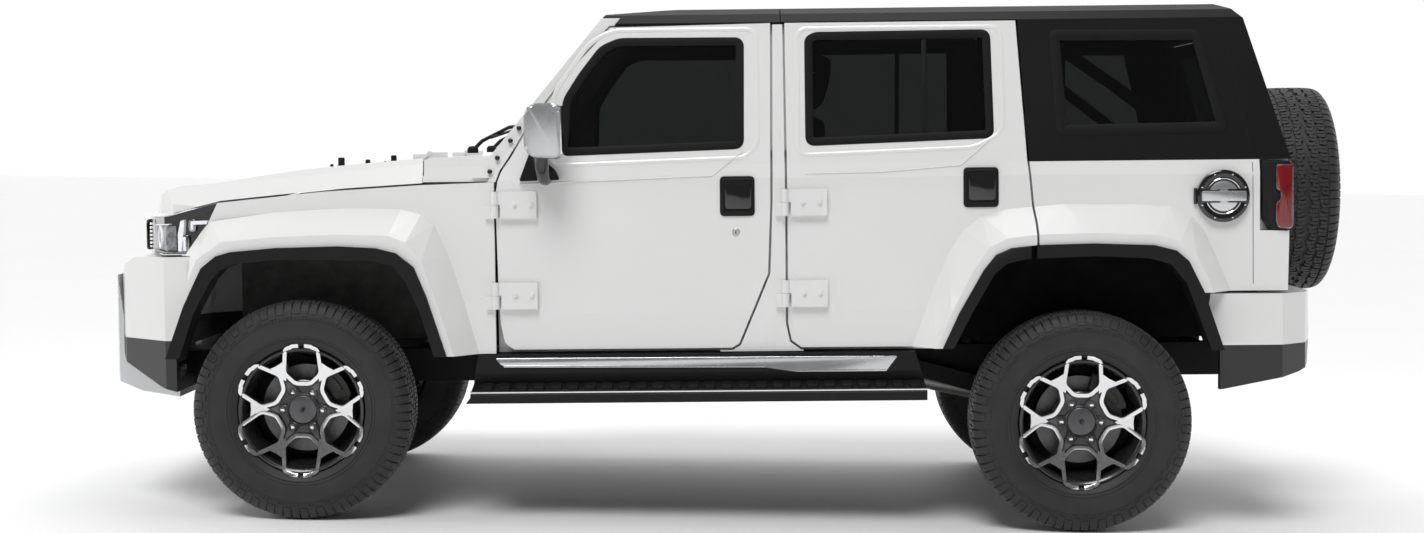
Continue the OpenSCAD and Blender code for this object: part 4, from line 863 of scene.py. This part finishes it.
def mirrors():
    for name, side in SIDES.items():
        body = f"front_{name}_door"
        bm = bmesh.new()
        # head: a shell that narrows towards its front
        place = flat_side(side, 0)
        head = [
            (812, 1300), (838, 1272), (930, 1266), (938, 1290), (938, 1438), (918, 1458), (838, 1456),
            (814, 1430),
        ]
        prism(bm, rounded(head, 14, 4), place, 922, 1046, 0, 16, 4)
        finish_piece(f"{name}_mirror_head", bm, [SILVER], body)
        bm = bmesh.new()
        prism(bm, panel(936, 942, 1282, 1448, 2, 2), place, 936, 1032, 0, 1)
        finish_piece(f"{name}_mirror_glass", bm, [CHROME], body)
        bm = bmesh.new()
        arm = [(868, 858, 1190), (866, 890, 1196), (864, 930, 1222), (866, 962, 1250), (868, 972, 1276)]
        tube(bm, [(x, side * y, z) for x, y, z in arm], 24, 16, 0, 0.8)
        foot = rounded([(776, 1186), (920, 1190), (906, 1222), (826, 1298), (814, 1290)], 9, 4)
        prism(bm, foot, on_side(side), -2, 17, 0, 5)
        prism(bm, rounded([(842, 1268), (932, 1264), (932, 1292), (846, 1292)], 8, 3), place, 930, 1038, 0,
              6)
        obj = finish_piece(f"{name}_mirror_arm", bm, [GLOSS_BLACK], body)
        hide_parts(f"{name}_mirror")


def pillar_bolts():
    bm = bmesh.new()
    for side in SIDES.values():
        for x, z in ((774, 1373), (744, 1329), (698, 1269), (672, 1221)):
            dome(bm, (x, side * (skin(z) - 1), z), (0, side, 0.18), 9, 6, 0)
    finish_piece("pillar_bolts", bm, [GLOSS_BLACK])


def surface_line(name, points, side, nodes, body, look, width=2.2, flat=0.5):
    """A narrow bead laid on the outer face of the named nodes, along (x, z) points of the side."""
    fine = []
    for a, b in zip(points, points[1:]):
        pieces = max(1, math.ceil(math.dist(a, b) / 30))
        fine += between(a, b, pieces)
    fine.append(points[-1])
    line = []
    for x, z in fine:
        start = LEVEL @ Vector((x, side * 1100, z))
        aim = (LEVEL @ Vector((x, 0, z)) - start).normalized()
        hits = [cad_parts[node].ray_cast(start, aim) for node in nodes]
        hits = [(spot - start).length / MM for hit, spot, _, _ in hits if hit]
        if hits:
            line.append(Vector((x, side * (1100 - min(hits)), z)))
    if len(line) < 2:
        return
    bm = bmesh.new()
    tube(bm, line, width, 8, 0, flat)
    finish_piece(name, bm, [look], body)


def side_lines():
    """Shut lines of the cowl and the hard top, and the doors' swage lines."""
    for name, side in SIDES.items():
        cowl = ["windscreen_frame", "body_sides"]
        surface_line(f"{name}_cowl_seam", [(434, 1182), (434, 1262)], side, cowl, "body", SEAL)
        corner, edge = [(3346, 1228), (3348, 775)], [(3343, 1262), (3262, 1700)]
        surface_line(f"{name}_rear_corner_seam", corner, side, ["body_sides"], "body", SEAL, 1.6)
        surface_line(f"{name}_hardtop_seam", edge, side, ["hardtop"], "body", GLOSS_BLACK)
        for end, points in (("front", [(775, 1177), (1454, 1199), (1562, 1284)]),
                            ("rear", [(1782, 1204), (2043, 1207), (2327, 1228), (2431, 1318)])):
            door = f"{end}_{name}_door"
            surface_line(f"{door}_swage", points, side, [door], door, PAINT, 4.0, 0.45)


def door_cards():
    """Dark trim on the inside of each door."""
    front = rectangle(830, 1580, 660, 1200)
    rear = [(1800, 660), (2280, 660), (2330, 720), (2420, 880), (2440, 1200), (1800, 1200)]
    for name, side in SIDES.items():
        for end, outline in (("front", front), ("rear", rear)):
            bm = bmesh.new()
            x0, x1 = outline[0][0] + 60, outline[0][0] + 520
            prism(bm, rounded(outline, 30, 4), flat_side(side, 0), 799, 786, 0, 5)
            rest = rounded([(x0, 950), (x1, 970), (x1, 1030), (x0, 1040)], 20, 4)
            prism(bm, rest, flat_side(side, 0), 790, 740, 1, 12)
            prism(bm, panel(x0 + 40, x1, 700, 800, 20, 4), flat_side(side, 0), 790, 765, 0, 8)
            finish_piece(f"{end}_{name}_door_card", bm, [CABIN, LEATHER], f"{end}_{name}_door")


# ---------------------------------------------------------------------------------------------
# Rear lamps and tail
# ---------------------------------------------------------------------------------------------
def tail_lamps():
    for name, side in SIDES.items():
        bm = bmesh.new()
        place = on_side(side)
        frame_line = rounded([(3374, 1234), (3382, 1030), (3409, 990), (3474, 986), (3480, 1232)], 12, 3)
        prism(bm, frame_line, flat_side(side, DOOR_Y - 12), -30, 14, 0, 4)
        lens = rounded([(3428, 1218), (3482, 1218), (3482, 1008), (3474, 998), (3436, 1002), (3428, 1018),
                        (3428, 1084), (3444, 1096), (3444, 1130), (3428, 1136)], 6, 3)
        prism(bm, offset(lens, 3), flat_side(side, DOOR_Y + 2), -6, 9.5, 2, 1)
        prism(bm, lens, flat_side(side, DOOR_Y + 2), -6, 12, 1, 3)
        for k in range(6):
            x = 3447 + k * 5.6
            prism(bm, rectangle(x, x + 3.2, 1014, 1208), flat_side(side, DOOR_Y + 12), -1, 3.6, 1, 1)
        rear = rounded([(side * 812, 996), (side * 846, 996), (side * 842, 1230), (side * 812, 1230)], 5, 3)
        prism(bm, rear, facing_rear(3476), -10, 8, 1, 3)
        obj = finish_piece(f"{name}_tail_lamp", bm, [PLASTIC, RED_LENS, LAMP_GREY])
        if name == "left":
            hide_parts("tail_lamps")


def across(name, looks, rows, body="body"):
    """Flat plates across the tail, in rows of (outline, x of its plane, low, high, look, bevel)."""
    bm = bmesh.new()
    for outline, x, *rest in rows:
        prism(bm, outline, facing_rear(x), *rest)
    finish_piece(name, bm, looks, body)


def tail_details():
    fields = [panel(-690, -300, 840, 1210, 30, 5), panel(300, 640, 840, 1210, 30, 5)]
    across("tailgate_panels", [PAINT], [(field, 3471, -1, 4, 0, 3) for field in fields], "tailgate")
    handle_parts = [
        (panel(-676, -560, 1080, 1180, 14, 4), 3474, -1, 6, 0, 2),
        (panel(-664, -572, 1100, 1150, 8, 4), 3480, -1, 10, 0, 4),
    ]
    across("tailgate_handle", [PLASTIC], handle_parts, "tailgate")
    spots = [panel(side * 480, side * 600, 640, 676, 8, 3) for side in SIDES.values()]
    across("rear_bumper_reflectors", [RED_LENS], [(spot, 3594, -14, 3, 0, 2) for spot in spots])
    blank = [
        (panel(-250, 250, 594, 702, 10, 3), 3592, -6, 4, 0, 2),
        (panel(-240, 240, 604, 692, 6, 3), 3596, -2, 2, 1, 1),
    ]
    across("rear_plate_blank", [PLASTIC, SILVER], blank)
    across("high_brake_lamp", [RED_LENS], [(panel(-150, 150, 1722, 1744, 6, 3), 3330, -14, 10, 0, 3)])


# ---------------------------------------------------------------------------------------------
# Front
# ---------------------------------------------------------------------------------------------
LAMP_LINE = [
    (-300, -300, 826, -0.181, 0.984), (-496, -496, 790, -0.55, 0.83), (-702, -576, 600, -0.935, 0.352),
    (-765, -596, 540, -0.949, 0.316),
]


def on_lamp(side):
    """Places a point (run along the lamp's plan, z, out). The run is the body's x as far as the corner."""
    def place(u, v, w):
        for a, b in zip(LAMP_LINE, LAMP_LINE[1:]):
            if u >= b[0] or b is LAMP_LINE[-1]:
                t = (a[0] - u) / (a[0] - b[0])
                x, y, nx, ny = (a[k] + (b[k] - a[k]) * t for k in range(1, 5))
                return Vector((x + nx * w, side * (y + ny * w), v))
    return place


def plate(bm, columns, place, low, high, look=0):
    """A plate that follows a bend: columns of (u, lowest v, highest v), drawn out between two depths."""
    fine = [columns[0]]
    for a, b in zip(columns, columns[1:]):
        pieces = max(1, math.ceil(abs(b[0] - a[0]) / 22))
        fine += [tuple(a[k] + (b[k] - a[k]) * i / pieces for k in range(3)) for i in range(1, pieces + 1)]
    rings = []
    for u, v0, v1 in fine:
        corners = ((v0, low), (v0, high), (v1, high), (v1, low))
        rings.append([bm.verts.new(place(u, v, w)) for v, w in corners])
    for ring in (rings[0][::-1], rings[-1]):
        bm.faces.new(ring).material_index = look
    bridge(bm, rings, look)


def headlamps():
    for name, side in SIDES.items():
        bm = bmesh.new()
        black, lamp, rod = 0, 1, 2
        place = on_lamp(side)
        whole = [
            (-300, 1108, 1117), (-336, 1043, 1107), (-404, 942, 1090), (-478, 942, 1071),
            (-496, 942, 1070), (-702, 942, 1064), (-765, 942, 1062),
        ]
        plate(bm, whole, place, -60, -16, black)
        plate(bm, [(u, max(v0, v1 - 24), v1) for u, v0, v1 in whole], place, -16, -1, black)
        plate(bm, [(u, v1 - 28, v1 - 24.5) for u, v0, v1 in whole[3:]], place, -14, 0, lamp)
        plate(bm, [(-336, 1043, 1050), (-404, 942, 949)], place, -14, -1, rod)
        plate(bm, [(-404, 942, 947), (-765, 942, 947)], place, -14, -1, rod)
        # grey reflector round the corner, bright strip, two lenses and the bar
        plate(bm, [(-458, 952, 1038), (-700, 952, 1032)], place, -16, -9, rod)
        plate(bm, [(-424, 1040, 1062), (-436, 948, 1062), (-448, 948, 1010)], place, -16, -3, lamp)
        for x, z, r, wide in ((-424, 975, 31, 16), (-395, 1040, 22, 14)):
            prism(bm, panel(x - wide, x + wide, z - r, z + r, 10, 4), place, -16, -5, rod, 4)
            prism(bm, panel(x - 5, x + 5, z - r + 6, z + r - 6, 4, 3), place, -6, -2, lamp, 2)
        plate(bm, [(-338, 1045, 1058), (-392, 1043, 1056)], place, -16, -3, lamp)
        # round projector on the front of the lamp
        out = Vector((-0.935, side * 0.352, 0))
        lathe(bm, [(42, -12), (42, -2), (39, 0), (36, -2), (35, -8)], place(-610, 996, 0), out, 48, lamp)
        lathe(bm, [(34, -9), (28, -4), (15, -1), (0, 0)], place(-610, 996, 0), out, 40, rod)
        obj = finish_piece(f"{name}_headlamp", bm, [GLOSS_BLACK, LAMP_WHITE, LAMP_GREY])
        if name == "left":
            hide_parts("headlamps")


def front_details():
    # grille slats in the openings of the panel between the lamps
    bm = bmesh.new()
    for k in range(10):
        y = -450 + 100 * k
        for z in range(958, 1046, 14):
            box(bm, (-628, -600), (y - 36, y + 36), (z, z + 5), 0)
        loft(bm, panel(y - 36, y + 36, 950, 1046, 8, 3), facing_front(-632),
             [(0, -6), (0, 3), (6, 5), (8, 0)], 1)
    finish_piece("grille_slats", bm, [PLASTIC, GLOSS_BLACK])
    # fog lamps at the corners of the bumper, and tow hooks
    for name, side in SIDES.items():
        bm = bmesh.new()
        centre = (-688, side * 562, 712)
        lathe(bm, [(62, -30), (62, 2), (58, 6), (50, 6), (46, 0), (44, -14)], centre,
              (-0.94, side * 0.34, 0), 48, 0)
        lathe(bm, [(44, -14), (36, -8), (0, -4)], centre, (-0.94, side * 0.34, 0), 40, 1)
        finish_piece(f"{name}_fog_lamp", bm, [CHROME, LAMP_WHITE])
        bm = bmesh.new()
        tube(bm, [(-700, side * 320 - 26, 700), (-742, side * 320 - 24, 700), (-750, side * 320, 700),
                  (-742, side * 320 + 24, 700), (-700, side * 320 + 26, 700)], 8, 12)
        finish_piece(f"{name}_tow_hook", bm, [PLASTIC])
    bm = bmesh.new()
    for z in (610, 640, 670):
        box(bm, (-748, -736), (-250, 250), (z, z + 12), 0, 2)
    prism(bm, panel(-260, 260, 735, 835, 10, 3), facing_front(-752), -2, 3, 0, 1)
    finish_piece("front_plate_blank", bm, [PLASTIC])


def bonnet_and_screen():
    bm = bmesh.new()
    for side in SIDES.values():
        for x, z, h, r in ((75, 1239, 10, 6), (110, 1242, 30, 12), (206, 1250, 14, 9)):
            stop = [(r + 5, -4), (r + 5, 2), (r, 4), (r, h), (r - 3, h + 3), (0, h + 3)]
            lathe(bm, stop, (x, side * 620, z), (0, 0, 1), 24)
    finish_piece("bonnet_stops", bm, [PLASTIC], "bonnet")
    bm = bmesh.new()
    for y0, y1 in ((-560, -60), (60, 620)):
        low = Vector((580, y0, 1296))
        arm = [low, low + Vector((30, 40, 34)), (680, (y0 + y1) / 2 + 60, 1380), (686, y1, 1384)]
        tube(bm, arm, 7, 8)
        tube(bm, [(644, y0 + 40, 1342), (670, y1, 1368)], 5, 8)
        lathe(bm, [(20, -10), (20, 6), (14, 14), (0, 16)], low, (0, 0, 1), 24)
    finish_piece("wipers", bm, [SEAL])


# ---------------------------------------------------------------------------------------------
# Cabin
# ---------------------------------------------------------------------------------------------
PUFF = 0.012


def cushion(name, centre, size, tilt):
    """A padded block: rounded, blown up by cloth simulation, then smoothed by subdivision."""
    bm = bmesh.new()
    bmesh.ops.create_cube(bm, size=1.0)
    bmesh.ops.subdivide_edges(bm, edges=bm.edges, cuts=9, use_grid_fill=True)
    half = Vector(size) * 0.5 * MM
    for vert in bm.verts:
        p = vert.co * 2
        shrink = 1 - 0.10 * max(0.0, (abs(p.x) ** 4 + abs(p.y) ** 4 + abs(p.z) ** 4) - 1.0) / 2
        vert.co = Vector((p.x * half.x, p.y * half.y, p.z * half.z)) * shrink
    mesh = bpy.data.meshes.new(name)
    bm.to_mesh(mesh)
    bm.free()
    obj = put(name, mesh)
    start = [v.co.copy() for v in mesh.vertices]
    cloth = obj.modifiers.new("Cloth", "CLOTH")
    cloth.settings.use_pressure = True
    cloth.settings.uniform_pressure_force = 4
    cloth.settings.effector_weights.gravity = 0
    cloth.settings.quality = 5
    scene = bpy.context.scene
    for step in range(1, 13):
        scene.frame_set(step)
    shaped = obj.evaluated_get(bpy.context.evaluated_depsgraph_get())
    grown = [v.co.copy() for v in shaped.data.vertices]
    obj.modifiers.remove(cloth)
    for vert, old, new in zip(mesh.vertices, start, grown):
        move = new - old
        vert.co = old + move * min(1.0, PUFF / max(move.length, 1e-9))
    scene.frame_set(1)
    mesh.transform(Matrix.Rotation(tilt, 4, "Y"))
    mesh.transform(Matrix.Translation(LEVEL @ Vector(centre)))
    mesh.materials.append(LEATHER)
    mesh.polygons.foreach_set("use_smooth", [True] * len(mesh.polygons))
    smooth = obj.modifiers.new("Subdivision", "SUBSURF")
    smooth.levels = smooth.render_levels = 1
    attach(obj, "body")
    return obj


def seats():
    for name, side in SIDES.items():
        y = side * 422
        base = cushion(f"{name}_seat_cushion", (1400, y, 820), (470, 440, 110), math.radians(3))
        back = cushion(f"{name}_seat_back", (1740, y, 1150), (110, 440, 560), math.radians(15))
        cushion(f"{name}_headrest", (1828, side * 425, 1535), (80, 180, 190), math.radians(12))
        bm = bmesh.new()
        box(bm, (1140, 1640), (y - 200, y + 200), (625, 775), 0, 14)
        for shift in (-60, 60):
            tube(bm, [(1806, y + shift, 1410), (1828, y + shift, 1490)], 7, 10, 1)
        finish_piece(f"{name}_seat_base", bm, [CABIN, CHROME])
        if name == "left":
            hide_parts("front_seats")
    bench = cushion("bench_cushion", (WHEELBASE - 430, 0, 835), (460, 1120, 120), math.radians(2))
    cushion("bench_back", (WHEELBASE - 170, 0, 1110), (110, 1120, 480), math.radians(14))
    for y in (-350, 350):
        label = "left" if y < 0 else "right"
        place = (WHEELBASE - 100, y, 1420)
        cushion(f"bench_headrest_{label}", place, (75, 230, 140), math.radians(10))
    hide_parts("rear_bench")
    # belts by the centre pillars, and the bars behind the rear seats
    for name, side in SIDES.items():
        bm = bmesh.new()
        belt = [(1800, 770, 1560), (1790, 700, 1440), (1740, 640, 1200), (1690, 690, 900)]
        tube(bm, [(x, side * y, z) for x, y, z in belt], 22, 8, 0, 0.12)
        finish_piece(f"{name}_belt", bm, [BELT_WEAVE])
        bm = bmesh.new()
        bar = [(2700, 640, 1640), (2900, 640, 1500), (3120, 655, 1330), (3190, 660, 1250)]
        tube(bm, [(x, side * y, z) for x, y, z in bar], 22, 14)
        tube(bm, [(2690, side * 640, 1250), (2700, side * 640, 1700)], 22, 14)
        finish_piece(f"{name}_roll_bar", bm, [CABIN])


def dashboard_details():
    bm = bmesh.new()
    for y in (-600, -250, 250, 600):
        lathe(bm, [(44, -4), (44, 6), (38, 10), (34, 6), (32, -4)], (978, y, 1120), (1, 0, 0), 32, 0)
    prism(bm, panel(-110, 130, 1090, 1200, 12, 4), facing_rear(985), -4, 8, 1, 2)
    finish_piece("dash_vents_and_screen", bm, [SILVER, GLOSS_BLACK])


# ---------------------------------------------------------------------------------------------
# Stage
# ---------------------------------------------------------------------------------------------
def area_light(name, where, target, size, power, colour=(1, 1, 1)):
    light = bpy.data.lights.new(name, "AREA")
    light.shape = "RECTANGLE"
    light.size, light.size_y = size
    light.energy = power
    light.color = colour
    obj = put(name, light)
    obj.location = where
    obj.rotation_euler = (Vector(target) - Vector(where)).to_track_quat("-Z", "Y").to_euler()


SUN_AIM = Vector((0.15, 0.66, -0.95))
SUN_POWER = 1.85
SUN_SPREAD = 26


def stage():
    bm = bmesh.new()
    bmesh.ops.create_grid(bm, x_segments=2, y_segments=2, size=60)
    floor_look = surface("studio_floor", (0.95, 0.95, 0.95), 0.6, tone=(0.6, 0.008),
                         grain=(40.0, 0.02, 0.0005))
    floor = finish_piece("studio_floor", bm, [floor_look], None, Matrix.Identity(4))
    world = bpy.data.worlds.new("studio")
    bpy.context.scene.world = world
    world.use_nodes = True
    nodes, links = world.node_tree.nodes, world.node_tree.links
    background = nodes["Background"]
    background.inputs["Strength"].default_value = 1.0
    direction = nodes.new("ShaderNodeTexCoord")
    split = nodes.new("ShaderNodeSeparateXYZ")
    links.new(direction.outputs["Generated"], split.inputs["Vector"])
    depth = nodes.new("ShaderNodeMapRange")
    depth.interpolation_type = "SMOOTHSTEP"
    depth.inputs["From Min"].default_value = -0.35
    depth.inputs["From Max"].default_value = 0.55
    depth.inputs["To Min"].default_value = 0.12
    depth.inputs["To Max"].default_value = 1.0
    links.new(split.outputs["Y"], depth.inputs["Value"])
    links.new(depth.outputs["Result"], background.inputs["Color"])
    sun = bpy.data.lights.new("key", "SUN")
    sun.energy = SUN_POWER
    sun.angle = math.radians(SUN_SPREAD)
    put("key", sun).rotation_euler = SUN_AIM.to_track_quat("-Z", "Y").to_euler()
    area_light("overhead", (0.2, 0.0, 6.5), (0, 0, 0.8), (6.0, 3.0), 100)
    area_light("front_edge", (-8.0, -3.0, 3.6), (-1.5, 0, 1.0), (3.0, 3.0), 60)
    bpy.context.scene.view_settings.view_transform = "Standard"
    bpy.context.scene.view_settings.look = "None"


CAMERA_PLACE = (0.0665, -9.047, 1.361)
CAMERA_TURN = (-0.920, -3.118, 0.776)
LENS = 59.0


def camera():
    """Camera at the photo's angle: its turn is yaw, pitch and roll in degrees."""
    yaw, pitch, roll = (math.radians(a) for a in CAMERA_TURN)
    ahead = Vector((math.sin(yaw), math.cos(yaw), 0))
    right = Vector((math.cos(yaw), -math.sin(yaw), 0))
    up = Vector((0, 0, 1))
    look = ahead * math.cos(pitch) + up * math.sin(pitch)
    up = up * math.cos(pitch) - ahead * math.sin(pitch)
    right, up = right * math.cos(roll) + up * math.sin(roll), up * math.cos(roll) - right * math.sin(roll)
    data = bpy.data.cameras.new("photo_view")
    data.sensor_width = 36
    data.lens = LENS
    data.clip_end = 200
    obj = put("photo_view", data)
    turned = Matrix(((right.x, up.x, -look.x), (right.y, up.y, -look.y), (right.z, up.z, -look.z)))
    obj.matrix_world = Matrix.Translation(CAMERA_PLACE) @ turned.to_4x4()
    bpy.context.scene.camera = obj


camera()
stage()
paint_nodes()
put_wheels()
calipers()
door_trims()
rear_door_arch_trims()
sill_trims()
fuel_cap_detail()
mirrors()
pillar_bolts()
side_lines()
door_cards()
tail_lamps()
tail_details()
headlamps()
front_details()
bonnet_and_screen()
seats()
dashboard_details()
